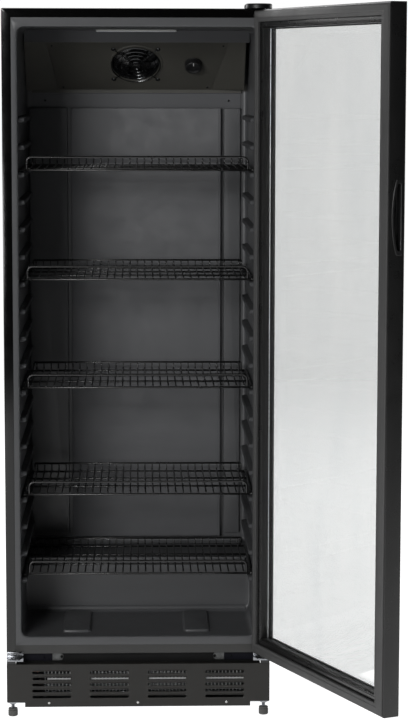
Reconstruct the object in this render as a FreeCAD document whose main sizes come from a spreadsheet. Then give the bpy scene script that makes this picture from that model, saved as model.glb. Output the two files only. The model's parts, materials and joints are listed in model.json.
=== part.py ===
"""Upright glass door merchandiser: a refrigerated cabinet with wire shelves and one hinged glass door.

Frame: the origin is on the floor, under the middle of the cabinet's front face. +X points to the hinge side,
+Y to the back and +Z up, in millimetres. The door stands open on its hinge; its pieces are drawn shut and
then swung to the angle in the sheet.
"""
import FreeCAD, Part
import math
import os

import Sketcher
from FreeCAD import Placement, Rotation, Vector

doc = FreeCAD.newDocument("merchandiser")
sheet = doc.addObject("Spreadsheet::Sheet", "sizes")


class Size:
    """A length that carries the sheet formula it was worked out from."""

    def __init__(self, value, text):
        self.value = value
        self.text = text

    def joined(self, sign, other, value):
        return Size(value, f"({self.text} {sign} {formula(other)})")

    def __add__(self, other):
        return self.joined("+", other, self.value + number(other))

    def __radd__(self, other):
        return self + other

    def __sub__(self, other):
        return self.joined("-", other, self.value - number(other))

    def __rsub__(self, other):
        return -self + other

    def __mul__(self, other):
        return self.joined("*", other, self.value * number(other))

    def __rmul__(self, other):
        return self * other

    def __truediv__(self, other):
        return self.joined("/", other, self.value / number(other))

    def __neg__(self):
        return Size(-self.value, f"(-1 * {self.text})")


def number(size):
    """The plain value of a Size or a number."""
    return size.value if isinstance(size, Size) else float(size)


def formula(size):
    """The sheet formula of a Size, or a number as text."""
    return size.text if isinstance(size, Size) else f"({float(size)})"


def driving(name, value):
    """One row of the sheet: the name beside its cell, which takes the name as its alias."""
    row = len(sheet.getUsedCells()) // 2 + 1
    sheet.set(f"A{row}", name)
    sheet.set(f"B{row}", str(value))
    sheet.setAlias(f"B{row}", name)
    return Size(float(value), f"sizes.{name}")


# cabinet
WIDTH = driving("cabinet_width", 600)
HEIGHT = driving("cabinet_height", 1607)
DEPTH = driving("cabinet_depth", 460)
SHEET = driving("steel_sheet", 1)
FLANGE = driving("front_flange_side", 21)
TOP_FLANGE = driving("front_flange_top", 20)
SHELL_FOOT = driving("shell_foot", 38.5)
# liner
OPENING_WIDTH = driving("opening_width", 531)
OPENING_FLOOR = driving("opening_floor", 191.8)
OPENING_TOP = driving("opening_top", 1566.5)
OPENING_CORNER = driving("opening_corner_radius", 15)
LINER_DEPTH = driving("liner_depth", 418)
LINER_SHEET = driving("liner_sheet", 1.5)
RIM_FOOT = driving("liner_rim_foot", 171.8)
STEP_FRONT = driving("step_front", 245)
STEP_TOP = driving("step_top", 324)
STEP_COVE = driving("step_cove_radius", 12)
STEP_NOSE = driving("step_nose_radius", 10)
FLOOR_BLOCK_RISE = driving("floor_block_rise", 6)
# shelf ribs
RIB_COUNT = 18
RIB_PITCH = driving("rib_pitch", 61.4)
RIB_LOWEST = driving("rib_lowest_centre", 318)
RIB_RISE = driving("rib_rise", 15)
RIB_REACH = driving("rib_reach", 13.5)
RIB_FRONT = driving("rib_front", 20)
RIB_BACK = driving("rib_back", 400)
# machine compartment
DECK_UNDER_FLOOR = driving("deck_under_floor", 150.2)
COMPARTMENT_FRONT = driving("compartment_front", 288)
COMPARTMENT_TOP = driving("compartment_top", 285)
RAIL_FOOT = driving("rail_foot", 152)
RECESS_DEPTH = driving("recess_depth", 25.5)
# base panel
PANEL_TOP = driving("panel_top", 127)
PANEL_FOOT = driving("panel_foot", 27.5)
PANEL_SHEET = driving("panel_sheet", 1.2)
LIP_LEFT = driving("panel_lip_left", 259)
LIP_RIGHT = driving("panel_lip_right", 256)
LOUVRE_LONG = driving("louvre_long", 88)
LOUVRE_HIGH = driving("louvre_high", 6)
LOUVRE_FIRST = driving("louvre_first", -242)
LOUVRE_ACROSS = driving("louvre_pitch_across", 131.7)
LOUVRE_LOWEST = driving("louvre_lowest", 51)
LOUVRE_UP = driving("louvre_pitch_up", 14.2)
SCREW_SPACING = driving("panel_screw_spacing", 202.5)
# evaporator cover, as the corners of its sloping face
COVER_FRONT = driving("cover_front", 290)
COVER_FRONT_EDGE = driving("cover_front_edge", 1538)
COVER_BACK = driving("cover_back", 413)
COVER_BACK_EDGE = driving("cover_back_edge", 1428)
COVER_LIP = driving("cover_lip_foot", 1419)
COVER_FOOT = driving("cover_foot", 1384)
FAN_ACROSS = driving("fan_across", -3)
FAN_UP = driving("fan_height", 1488)
FAN_HOLE = driving("fan_hole_radius", 56)
KNOB_ACROSS = driving("knob_across", 133)
KNOB_UP = driving("knob_height", 1490)
KNOB_RADIUS = driving("knob_radius", 20.5)
# shelves
SHELF_HALF = driving("shelf_half_width", 259)
SHELF_FRONT = driving("shelf_front", 38)
SHELF_BACK = driving("shelf_back", 348)
SHELF_RODS = 29
SIDE_WIRE = driving("side_wire_radius", 3)
CROSS_WIRE = driving("cross_wire_radius", 2.4)
ROD_WIRE = driving("rod_wire_radius", 1.6)
FENCE_RISE = driving("fence_rise", 29)
FENCE_HALF = driving("fence_half_width", 248)
FENCE_CORNER = driving("fence_corner_radius", 12)
BACK_RAIL_RISE = driving("back_rail_rise", 20)
# door, shut
DOOR_FOOT = driving("door_foot", 157)
DOOR_TOP = driving("door_top", 1603.6)
DOOR_GAP = driving("door_gap", 7)
DOOR_THICK = driving("door_thickness", 36.5)
FRAME_WIDE = driving("frame_width", 40)
GLASS_BACK = driving("glass_depth_behind_frame", 24)
GLASS_UNIT = driving("glass_unit_thickness", 11.2)
PANE = driving("pane_thickness", 3)
GLASS_BITE = driving("glass_bite", 12)
GASKET_INSET = driving("gasket_inset", 3)
GASKET_WIDE = driving("gasket_width", 24)
GASKET_RISE = driving("gasket_rise", 6.6)
CUP_FOOT = driving("handle_cup_foot", 1104)
CUP_TOP = driving("handle_cup_top", 1252)
# hinge
HINGE_X = driving("hinge_across", 283.5)
HINGE_Y = driving("hinge_back", -26.5)
DOOR_ANGLE = driving("door_angle", 113.5)
PIN_RADIUS = driving("hinge_pin_radius", 4)
PIN_PLAY = driving("pin_play", 0.05)
# feet
FOOT_X = driving("foot_across", 288)
FOOT_FRONT = driving("foot_front", 30)
FOOT_REAR = driving("foot_rear", 430)
FOOT_RADIUS = driving("foot_radius", 11)
FOOT_RISE = driving("foot_rise", 18)
STEM_RADIUS = driving("foot_stem_radius", 4)

HALF = WIDTH / 2
OPENING = OPENING_WIDTH / 2
RIM_SIDE = HALF - FLANGE
RIM_TOP = HEIGHT - TOP_FLANGE
DOOR_INNER = -DOOR_GAP
DOOR_OUTER = -(DOOR_GAP + DOOR_THICK)
GLASS_INNER = DOOR_INNER - GLASS_BACK
GLASS_OUTER = GLASS_INNER - GLASS_UNIT
CLEARANCE = 0.3


# ---- document helpers

def bind(item, prop, size):
    """Drive one property from the sheet."""
    item.setExpression(prop, formula(size))


def bind_base(item, x, y, z):
    """Drive the position of an object from the sheet."""
    bind(item, "Placement.Base.x", x)
    bind(item, "Placement.Base.y", y)
    bind(item, "Placement.Base.z", z)


def box(name, x, y, z):
    """A block between two values along each axis."""
    item = doc.addObject("Part::Box", name)
    bind(item, "Length", x[1] - x[0])
    bind(item, "Width", y[1] - y[0])
    bind(item, "Height", z[1] - z[0])
    bind_base(item, x[0], y[0], z[0])
    return item


TURNS = {"x": Rotation(Vector(0, 1, 0), 90), "y": Rotation(Vector(1, 0, 0), -90), "z": Rotation()}


def rod(name, start, axis, radius, length):
    """A cylinder from a start point along +X, +Y or +Z."""
    item = doc.addObject("Part::Cylinder", name)
    bind(item, "Radius", radius)
    bind(item, "Height", length)
    item.Placement = Placement(Vector(), TURNS[axis])
    bind_base(item, *start)
    return item


def ring(name, height, radius, wire):
    """A ring of round wire about the Z axis."""
    item = doc.addObject("Part::Torus", name)
    bind(item, "Radius1", radius)
    bind(item, "Radius2", wire)
    bind_base(item, 0, 0, height)
    return item


def fuse(name, shapes):
    """Several shapes joined into one."""
    item = doc.addObject("Part::MultiFuse", name)
    item.Shapes = shapes
    return item


def cut(name, base, tools):
    """A base with the tools taken out of it."""
    item = doc.addObject("Part::Cut", name)
    item.Base = base
    item.Tool = tools[0] if len(tools) == 1 else fuse(f"{name}_tools", tools)
    return item


def common(name, shapes):
    """What several shapes share."""
    item = doc.addObject("Part::MultiCommon", name)
    item.Shapes = shapes
    return item


def group(name, shapes):
    """Separate solids kept in one node."""
    item = doc.addObject("Part::Compound", name)
    item.Links = shapes
    return item


def plane_of(body, role):
    """One origin plane of a body."""
    return next(plane for plane in body.Origin.OriginFeatures if plane.Role == role)


def outline(body, role, points, offset):
    """A sketch with a closed outline, each corner held to the sketch's origin by the sheet."""
    sketch = body.newObject("Sketcher::SketchObject", f"{body.Name}_outline")
    sketch.AttachmentSupport = [(plane_of(body, role), "")]
    sketch.MapMode = "FlatFace"
    bind(sketch, "AttachmentOffset.Base.z", offset)
    places = [Vector(number(a), number(b), 0) for a, b in points]
    count = len(places)
    for i in range(count):
        sketch.addGeometry(Part.LineSegment(places[i], places[(i + 1) % count]))
    for i in range(count):
        sketch.addConstraint(Sketcher.Constraint("Coincident", i, 2, (i + 1) % count, 1))
    for i, (a, b) in enumerate(points):
        for kind, size in (("DistanceX", a), ("DistanceY", b)):
            index = sketch.addConstraint(Sketcher.Constraint(kind, -1, 1, i, 1, number(size)))
            sketch.setExpression(f"Constraints[{index}]", formula(size))
    return sketch


def prism(name, role, points, low, high):
    """A body padded from an outline, filling low to high along the axis normal to its plane."""
    body = doc.addObject("PartDesign::Body", name)
    start = -high if role == "XZ_Plane" else low
    sketch = outline(body, role, points, start)
    pad = body.newObject("PartDesign::Pad", f"{name}_pad")
    pad.Profile = sketch
    bind(pad, "Length", high - low)
    sketch.Visibility = False
    return body


def round_edges(body, radius, direction):
    """Fillet the edges of a body's tip that run along a direction."""
    doc.recompute()
    base = body.Tip
    names = []
    for index, edge in enumerate(base.Shape.Edges, 1):
        if edge.Curve.TypeId != "Part::GeomLine":
            continue
        if abs(edge.tangentAt(edge.FirstParameter).dot(direction)) > 0.999:
            names.append(f"Edge{index}")
    fillet = body.newObject("PartDesign::Fillet", f"{body.Name}_round")
    fillet.Base = (base, names)
    bind(fillet, "Radius", radius)
    body.Tip = fillet
    return body


def turned(name, profile):
    """A body revolved about Z from a profile of (radius, height) corners."""
    body = doc.addObject("PartDesign::Body", name)
    sketch = outline(body, "XZ_Plane", profile, 0)
    revolution = body.newObject("PartDesign::Revolution", f"{name}_revolution")
    revolution.Profile = sketch
    revolution.ReferenceAxis = (sketch, ["V_Axis"])
    revolution.Angle = 360
    sketch.Visibility = False
    return body


def bent_path(points, bend):
    """A wire through points, with each inner corner rounded by a tangent arc."""
    places = [Vector(*map(number, p)) for p in points]
    edges = []
    start = places[0]
    for before, corner, after in zip(places, places[1:], places[2:]):
        inward = (before - corner).normalize()
        outward = (after - corner).normalize()
        half_turn = inward.getAngle(outward) / 2
        reach = bend / math.tan(half_turn)
        middle = (inward + outward).normalize() * (bend / math.sin(half_turn) - bend)
        enter = corner + inward * reach
        leave = corner + outward * reach
        edges.append(Part.LineSegment(start, enter).toShape())
        edges.append(Part.Arc(enter, corner + middle, leave).toShape())
        start = leave
    edges.append(Part.LineSegment(start, places[-1]).toShape())
    return Part.Wire(edges)


def bent_rod(name, points, bend, radius):
    """A round wire or tube along a bent path."""
    path = bent_path(points, number(bend))
    first = path.Edges[0]
    circle = Part.Circle(first.valueAt(0), first.tangentAt(0), number(radius)).toShape()
    item = doc.addObject("Part::Feature", name)
    item.Shape = path.makePipeShell([Part.Wire([circle])], True, False)
    return item


def copied(name, source, shift):
    """The same piece again at another place."""
    item = doc.addObject("Part::Feature", name)
    item.Shape = source.Shape
    item.Placement = Placement(shift, Rotation()).multiply(source.Placement)
    return item


# ---- cabinet

def outer_shell():
    """Folded steel wrap: two sides and a top, with flanges round the front."""
    block = box("shell_block", (-HALF, HALF), (0, DEPTH), (SHELL_FOOT, HEIGHT))
    inside = box("shell_inside", (SHEET - HALF, HALF - SHEET), (SHEET, DEPTH + 1), (0, HEIGHT - SHEET))
    window = box("shell_window", (-RIM_SIDE, RIM_SIDE), (-1, DEPTH / 2), (0, RIM_TOP))
    below = box("shell_below_flange", (SHEET - HALF, HALF - SHEET), (-1, DEPTH / 2), (0, PANEL_TOP))
    return cut("outer_shell", block, [inside, window, below])


def liner_room(name, grow):
    """The cold space without its step: a block with rounded long edges, made larger all round by grow."""
    side = OPENING + grow
    low = OPENING_FLOOR - grow
    high = OPENING_TOP + grow
    corners = [(-side, low), (side, low), (side, high), (-side, high)]
    room = prism(name, "XZ_Plane", corners, -1, LINER_DEPTH + grow)
    return round_edges(room, OPENING_CORNER + grow, Vector(0, 1, 0))


def liner_form(name, grow):
    """The cold space with its step, made larger all round by grow."""
    return cut(name, liner_room(f"{name}_room", grow), [compressor_step(f"{name}_step", grow)])


def compressor_step(name, grow):
    """The raised rear part of the floor, with its front face, its level top and a bevelled nose and cove."""
    front = STEP_FRONT + grow
    top = STEP_TOP - grow
    low = OPENING_FLOOR - grow
    points = [
        (front - STEP_COVE, low - 5),
        (front - STEP_COVE, low),
        (front - STEP_COVE * 0.29, low + STEP_COVE * 0.29),
        (front, low + STEP_COVE),
        (front, top - STEP_NOSE),
        (front + STEP_NOSE * 0.29, top - STEP_NOSE * 0.29),
        (front + STEP_NOSE, top),
        (LINER_DEPTH + 10, top),
        (LINER_DEPTH + 10, low - 5),
    ]
    return prism(name, "YZ_Plane", points, -HALF, HALF)


def inner_liner(outside):
    """Moulded liner: thin walls, a rim round the opening and two raised blocks on the floor."""
    rim = box("liner_rim", (-RIM_SIDE, RIM_SIDE), (0, LINER_SHEET), (RIM_FOOT, RIM_TOP))
    trimmed = cut("liner_trimmed", outside, [box("liner_front_waste", (-HALF, HALF), (-5, 0), (0, HEIGHT))])
    hollow = cut("liner_hollow", fuse("liner_solid", [trimmed, rim]), [liner_form("liner_inside", 0)])
    rise = (OPENING_FLOOR - 0.5, OPENING_FLOOR + FLOOR_BLOCK_RISE)
    left = box("floor_block_left", (-175, -108), (35, STEP_FRONT - STEP_COVE), rise)
    right = box("floor_block_right", (103, 166), (35, STEP_FRONT - STEP_COVE), rise)
    return fuse("inner_liner", [hollow, left, right])


def insulation_foam(outside):
    """Foam that fills the space between the liner, the shell and the deck."""
    block = box("foam_block", (SHEET - HALF, HALF - SHEET), (LINER_SHEET + 0.1, DEPTH - SHEET),
                (DECK_UNDER_FLOOR, HEIGHT - SHEET))
    machines = box("foam_machine_space", (-HALF, HALF), (COMPARTMENT_FRONT, DEPTH), (0, COMPARTMENT_TOP))
    recess = box("foam_recess", (-HALF, HALF), (-1, RECESS_DEPTH), (0, RIM_FOOT))
    return cut("insulation_foam", block, [outside, machines, recess])


def shelf_ribs(side_name, sign):
    """Moulded ribs that carry the shelves, on one side wall."""
    ribs = []
    for index in range(RIB_COUNT):
        centre = RIB_LOWEST + RIB_PITCH * index
        back = STEP_FRONT - 1 if index == 0 else RIB_BACK
        across = (OPENING - RIB_REACH, OPENING) if sign > 0 else (-OPENING, RIB_REACH - OPENING)
        name = f"rib_{side_name}_{index + 1}"
        ribs.append(box(name, across, (RIB_FRONT, back), (centre - RIB_RISE / 2, centre + RIB_RISE / 2)))
    return group(f"shelf_ribs_{side_name}", ribs)


def back_panel():
    across = (SHEET - HALF, HALF - SHEET)
    return box("back_panel", across, (DEPTH - SHEET, DEPTH), (COMPARTMENT_TOP + 5, HEIGHT - SHEET))


def rear_grille():
    """Removable cover of the machine compartment, with rows of air slots and a hole for the cord gland."""
    sheet_y = (DEPTH - SHEET, DEPTH)
    plate = box("grille_plate", (SHEET - HALF, HALF - SHEET), sheet_y, (SHELL_FOOT, COMPARTMENT_TOP + 4.5))
    slots = [rod("gland_hole", (GLAND_X, DEPTH - 5, GLAND_Z), "y", GLAND_NECK + 0.2, 10)]
    for column in range(3):
        left = -215 + 150 * column
        for row in range(8):
            foot = 120 + 18 * row
            name = f"grille_slot_{column}_{row}"
            slots.append(box(name, (left, left + 130), (DEPTH - 5, DEPTH + 5), (foot, foot + 7)))
    return cut("rear_grille", plate, slots)


def floor_deck():
    """Steel deck under the foam: over the front space, up behind the step and back over the compressor."""
    back = DEPTH - SHEET
    points = [
        (RECESS_DEPTH, DECK_UNDER_FLOOR),
        (COMPARTMENT_FRONT, DECK_UNDER_FLOOR),
        (COMPARTMENT_FRONT, COMPARTMENT_TOP),
        (back, COMPARTMENT_TOP),
        (back, COMPARTMENT_TOP - SHEET),
        (COMPARTMENT_FRONT + SHEET, COMPARTMENT_TOP - SHEET),
        (COMPARTMENT_FRONT + SHEET, DECK_UNDER_FLOOR - SHEET),
        (RECESS_DEPTH, DECK_UNDER_FLOOR - SHEET),
    ]
    return prism("floor_deck", "YZ_Plane", points, SHEET - HALF, HALF - SHEET)


def feet_places():
    """The corner names and plan positions of the four feet."""
    for end, y in (("front", FOOT_FRONT), ("rear", FOOT_REAR)):
        for side, x in (("left", -FOOT_X), ("right", FOOT_X)):
            yield f"{end}_{side}", x, y


def base_pan():
    """Steel floor of the machine compartment, drilled for the feet."""
    plate = box("pan_plate", (2 - HALF, HALF - 2), (1, DEPTH - SHEET), (SHELL_FOOT - 2, SHELL_FOOT))
    holes = []
    for name, x, y in feet_places():
        holes.append(rod(f"pan_hole_{name}", (x, y, 0), "z", STEM_RADIUS + 0.6, 100))
    return cut("base_pan", plate, holes)


def lower_front_rail():
    """Folded rail under the liner rim, with the recess for the hinge plates below it."""
    thin = PANEL_SHEET
    points = [
        (0, RIM_FOOT),
        (thin, RIM_FOOT),
        (thin, RAIL_FOOT + thin),
        (RECESS_DEPTH, RAIL_FOOT + thin),
        (RECESS_DEPTH, PANEL_TOP - 7),
        (RECESS_DEPTH - thin, PANEL_TOP - 7),
        (RECESS_DEPTH - thin, RAIL_FOOT),
        (0, RAIL_FOOT),
    ]
    return prism("lower_front_rail", "YZ_Plane", points, -RIM_SIDE, RIM_SIDE)


def base_panel():
    """Louvred front panel of the machine compartment, notched over the feet."""
    face = box("panel_face", (-HALF, HALF), (-PANEL_SHEET, 0), (PANEL_FOOT, PANEL_TOP))
    flange = box("panel_flange", (2 - RIM_SIDE, RIM_SIDE - 2), (-PANEL_SHEET, RECESS_DEPTH - 3),
                 (PANEL_TOP - PANEL_SHEET, PANEL_TOP))
    through = (-5, 5)
    notches = [
        box("panel_notch_left", (-HALF - 1, -LIP_LEFT), through, (0, SHELL_FOOT)),
        box("panel_notch_right", (LIP_RIGHT, HALF + 1), through, (0, SHELL_FOOT)),
    ]
    slots = []
    for column in range(4):
        left = LOUVRE_FIRST + LOUVRE_ACROSS * column
        for row in range(5):
            middle = LOUVRE_LOWEST + LOUVRE_UP * row
            up = (middle - LOUVRE_HIGH / 2, middle + LOUVRE_HIGH / 2)
            slots.append(box(f"louvre_{column}_{row}", (left, left + LOUVRE_LONG), through, up))
    return cut("base_panel", fuse("panel_blank", [face, flange]), notches + slots)


def base_panel_screws():
    heads = []
    for index in (-1, 0, 1):
        place = (SCREW_SPACING * index - 1.5, -PANEL_SHEET - 1.6, PANEL_FOOT + 9.9)
        heads.append(rod(f"panel_screw_{index + 2}", place, "y", 3.2, 1.6))
    return group("base_panel_screws", heads)


# ---- inside the cold space

def air_duct_panel():
    """Shallow channel that carries cold air down the back wall, open at its foot."""
    face = LINER_DEPTH - 12
    block = box("duct_block", (-158, 201), (face, LINER_DEPTH), (STEP_TOP + 18, COVER_FOOT))
    hollow = box("duct_hollow", (-156.5, 199.5), (face + 1.5, LINER_DEPTH + 1), (0, COVER_FOOT - 1.5))
    return cut("air_duct_panel", block, [hollow])


def drain_channel():
    """Moulding along the foot of the back wall that leads melt water to the drain."""
    back = LINER_DEPTH
    low = STEP_TOP
    points = [
        (back, low),
        (back - 17, low),
        (back - 21, low + 4),
        (back - 21, low + 12),
        (back - 17, low + 16),
        (back, low + 16),
    ]
    return prism("drain_channel", "YZ_Plane", points, 3 - OPENING, OPENING - RIB_REACH)


def slope_direction():
    """Unit vector up along the cover's sloping face."""
    along = Vector(0, number(COVER_FRONT - COVER_BACK), number(COVER_FRONT_EDGE - COVER_BACK_EDGE))
    return along.normalize()


def on_slope(across, up):
    """A placement on the cover's sloping face, with its local Z pointing out of the face."""
    fall = (COVER_FRONT_EDGE - up) / (COVER_FRONT_EDGE - COVER_BACK_EDGE)
    back = COVER_FRONT + (COVER_BACK - COVER_FRONT) * fall
    along = slope_direction()
    lean = 180 - math.degrees(math.atan2(along.z, -along.y))
    return Placement(Vector(number(across), number(back), number(up)), Rotation(Vector(1, 0, 0), lean))


def evaporator_cover():
    """Folded cover under the coil: front lip, sloping face, short lip and a flange on the back wall."""
    thin = 1.5
    top = OPENING_TOP - 0.1
    points = [
        (COVER_FRONT, top),
        (COVER_FRONT, COVER_FRONT_EDGE),
        (COVER_BACK, COVER_BACK_EDGE),
        (COVER_BACK, COVER_LIP),
        (LINER_DEPTH - thin, COVER_LIP),
        (LINER_DEPTH - thin, COVER_FOOT),
        (LINER_DEPTH, COVER_FOOT),
        (LINER_DEPTH, COVER_LIP + thin),
        (COVER_BACK + thin, COVER_LIP + thin),
        (COVER_BACK + thin, COVER_BACK_EDGE + 0.7),
        (COVER_FRONT + thin, COVER_FRONT_EDGE + 0.7),
        (COVER_FRONT + thin, top),
    ]
    folded = prism("cover_folded", "YZ_Plane", points, 1.5 - OPENING, OPENING - 1.5)
    fitted = common("cover_fitted", [folded, liner_room("cover_limit", -CLEARANCE)])
    fan_hole = group("cover_fan_hole", [rod("cover_fan_drill", (0, 0, -10), "z", FAN_HOLE, 20)])
    knob_hole = group("cover_knob_hole", [rod("cover_knob_drill", (0, 0, -10), "z", 3.4, 20)])
    holes = [placed(fan_hole, on_slope(FAN_ACROSS, FAN_UP)), placed(knob_hole, on_slope(KNOB_ACROSS, KNOB_UP))]
    return cut("evaporator_cover", fitted, holes)


def placed(item, placement):
    """Place an object that was drawn in its own frame."""
    item.Placement = placement
    return item


def evaporator_coil():
    """Finned block with the ends of its tubes standing out at both sides."""
    core = box("coil_core", (-200, 200), (LINER_DEPTH - 38, LINER_DEPTH - 4), (OPENING_TOP - 64, OPENING_TOP - 4))
    tubes = []
    for row in range(2):
        for column in range(3):
            place = (-212, LINER_DEPTH - 30 + 18 * row, OPENING_TOP - 52 + 18 * column)
            tubes.append(rod(f"coil_tube_{row}_{column}", place, "x", 4, 424))
    return fuse("evaporator_coil", [core] + tubes)


def evaporator_fan_frame():
    """Square fan frame with its motor can held on four struts behind the blades."""
    square = box("fan_square", (-59.5, 59.5), (-59.5, 59.5), (-26.5, -1.6))
    bore = rod("fan_bore", (0, 0, -30), "z", FAN_HOLE, 40)
    rim = cut("fan_rim", square, [bore])
    motor = rod("fan_motor", (0, 0, -26.5), "z", 19, 9)
    spindle = rod("fan_spindle", (0, 0, -18), "z", 1.5, 11)
    bars = [
        box("fan_strut_across", (-58, 58), (-2.5, 2.5), (-26.5, -23.5)),
        box("fan_strut_up", (-2.5, 2.5), (-58, 58), (-26.5, -23.5)),
    ]
    frame = fuse("evaporator_fan_frame", [rim, motor, spindle] + bars)
    return placed(frame, on_slope(FAN_ACROSS, FAN_UP))


def fan_blades(name, hub_radius, tip_radius, low, high, bore, count):
    """A hub with pitched blades round it, about its own Z axis."""
    hub = rod(f"{name}_hub", (0, 0, low), "z", hub_radius, high - low)
    hole = rod(f"{name}_hole", (0, 0, low - 1), "z", bore, high - low - 2)
    blades = []
    for index in range(count):
        blade = doc.addObject("Part::Box", f"{name}_blade_{index + 1}")
        blade.Length = tip_radius - hub_radius + 2
        blade.Width = tip_radius * 0.5
        blade.Height = 1.6
        pitch = Placement(Vector(0, 0, (low + high) / 2), Rotation(Vector(1, 0, 0), 24))
        middle = Placement(Vector(hub_radius - 2, -tip_radius * 0.25, -0.8), Rotation())
        turn = Placement(Vector(), Rotation(Vector(0, 0, 1), 360 * index / count))
        blade.Placement = turn.multiply(pitch).multiply(middle)
        blades.append(blade)
    limit = rod(f"{name}_limit", (0, 0, low - 20), "z", tip_radius, high - low + 40)
    wheel = common(f"{name}_wheel", [fuse(f"{name}_blank", [hub] + blades), limit])
    return cut(name, wheel, [hole])


def evaporator_fan_guard():
    """Wire guard over the fan: rings on four diagonal arms that end in fixing eyes."""
    wire = 1.1
    height = 4.0
    rings = [ring(f"guard_ring_{i + 1}", height, 12 + 11.4 * i, wire) for i in range(5)]
    arms = []
    eyes = []
    for index in range(4):
        turn = Rotation(Vector(0, 0, 1), 45 + 90 * index)
        arm = doc.addObject("Part::Cylinder", f"guard_arm_{index + 1}")
        arm.Radius = wire
        arm.Height = 62
        start = turn.multVec(Vector(11, 0, 0)) + Vector(0, 0, height - 1.4)
        arm.Placement = Placement(start, turn.multiply(TURNS["x"]))
        arms.append(arm)
        place = turn.multVec(Vector(74, 0, 0))
        eyes.append(rod(f"guard_eye_{index + 1}", (place.x, place.y, 0), "z", 4.5, 3.4))
    guard = fuse("evaporator_fan_guard", rings + arms + eyes)
    return placed(guard, on_slope(FAN_ACROSS, FAN_UP))


def thermostat_body():
    """Thermostat behind the cover, with the hole that its knob's spindle turns in."""
    case = box("thermostat_case", (-25, 25), (-18, 18), (-26, -2))
    hole = rod("thermostat_hole", (0, 0, -14), "z", 3.05, 20)
    return placed(cut("thermostat_body", case, [hole]), on_slope(KNOB_ACROSS, KNOB_UP))


def thermostat_knob():
    """Ribbed knob on a spindle, grooved round its edge."""
    profile = [(0, -12), (3, -12), (3, 0.6), (KNOB_RADIUS, 0.6), (KNOB_RADIUS, 15), (KNOB_RADIUS - 1.5, 16.5), (0, 16.5)]
    blank = turned("knob_blank", profile)
    grooves = []
    for index in range(24):
        turn = Rotation(Vector(0, 0, 1), 15 * index)
        place = turn.multVec(Vector(number(KNOB_RADIUS) + 0.5, 0, 0))
        grooves.append(rod(f"knob_groove_{index + 1}", (place.x, place.y, 3), "z", 1.3, 30))
    return placed(cut("thermostat_knob", blank, grooves), on_slope(KNOB_ACROSS, KNOB_UP))


def lamp_housing():
    """Slim lamp body on the ceiling, open below for its lens."""
    block = box("lamp_block", (-95, 92), (258, 284), (OPENING_TOP - 4, OPENING_TOP))
    hollow = box("lamp_hollow", (-93, 90), (260, 282), (OPENING_TOP - 5, OPENING_TOP - 1.5))
    return cut("lamp_housing", block, [hollow])


def lamp_lens():
    return box("lamp_lens", (-92.8, 89.8), (260.2, 281.8), (OPENING_TOP - 4.8, OPENING_TOP - 2.8))


# ---- shelves

def shelf_plan():
    """Rib numbers that carry a shelf, counted from the lowest."""
    return [0, 3, 7, 11, 15]


def shelf_height(rib):
    """Height of a shelf's side wires above the floor, for the rib it lies on."""
    return RIB_LOWEST + RIB_PITCH * rib + RIB_RISE / 2 + CLEARANCE + SIDE_WIRE


def shelf_grid():
    """Flat base of a shelf: side wires, cross wires under them and thin rods on top of the cross wires."""
    long = SHELF_BACK - SHELF_FRONT
    pieces = []
    for name, x in (("left", -SHELF_HALF), ("right", SHELF_HALF)):
        pieces.append(rod(f"shelf_side_{name}", (x, SHELF_FRONT - 3, 0), "y", SIDE_WIRE, long + 6))
    crossings = (SHELF_FRONT, SHELF_FRONT + long * 0.34, SHELF_FRONT + long * 0.68, SHELF_BACK)
    for index, y in enumerate(crossings):
        place = (-SHELF_HALF, y, 0)
        pieces.append(rod(f"shelf_cross_{index + 1}", place, "x", CROSS_WIRE, SHELF_HALF * 2))
    pitch = SHELF_HALF * 2 / (SHELF_RODS + 1)
    for index in range(SHELF_RODS):
        place = (pitch * (index + 1) - SHELF_HALF, SHELF_FRONT, CROSS_WIRE + ROD_WIRE - 0.5)
        pieces.append(rod(f"shelf_rod_{index + 1}", place, "y", ROD_WIRE, long))
    return fuse("shelf_grid", pieces)


def shelf_fence():
    """Loop of thick wire along the front edge that keeps goods on the shelf."""
    half = FENCE_HALF
    foot = CROSS_WIRE
    top = FENCE_RISE
    points = [(-half, SHELF_FRONT, foot), (-half, SHELF_FRONT, top), (half, SHELF_FRONT, top), (half, SHELF_FRONT, foot)]
    return bent_rod("shelf_fence", points, FENCE_CORNER, CROSS_WIRE)


def shelf_back_rail():
    """Low rail at the back: short uprights under one long wire."""
    back = SHELF_BACK
    foot = CROSS_WIRE + 0.2
    pitch = SHELF_HALF * 2 / (SHELF_RODS + 1)
    pieces = [rod("rail_top_wire", (-FENCE_HALF, back, BACK_RAIL_RISE), "x", CROSS_WIRE, FENCE_HALF * 2)]
    for index in range(SHELF_RODS):
        place = (pitch * (index + 1) - SHELF_HALF, back + ROD_WIRE + 0.6, foot)
        pieces.append(rod(f"rail_upright_{index + 1}", place, "z", ROD_WIRE, BACK_RAIL_RISE - foot))
    return fuse("shelf_back_rail", pieces)


def shelves():
    """Five equal wire shelves, numbered from the bottom."""
    model = group("shelf_model", [shelf_grid(), shelf_fence(), shelf_back_rail()])
    doc.recompute()
    found = []
    for index, rib in enumerate(shelf_plan()):
        shift = Vector(0, 0, number(shelf_height(rib)))
        found.append(copied(f"shelf_{index + 1}", model, shift))
    return found


# ---- machine compartment

GLAND_X = -230
GLAND_Z = 78
GLAND_NECK = 7
COMPRESSOR_X = 70
COMPRESSOR_Y = 374


def compressor():
    """Domed hermetic shell with a welded seam band."""
    low = 53
    profile = [(0, low), (50, low), (66, low + 18), (68, low + 70), (71, low + 70), (71, low + 78), (68, low + 78),
               (66, low + 130), (52, low + 156), (24, low + 166), (0, low + 166)]
    body = turned("compressor", profile)
    body.Placement = Placement(Vector(COMPRESSOR_X, COMPRESSOR_Y, 0), Rotation())
    return body


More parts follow.
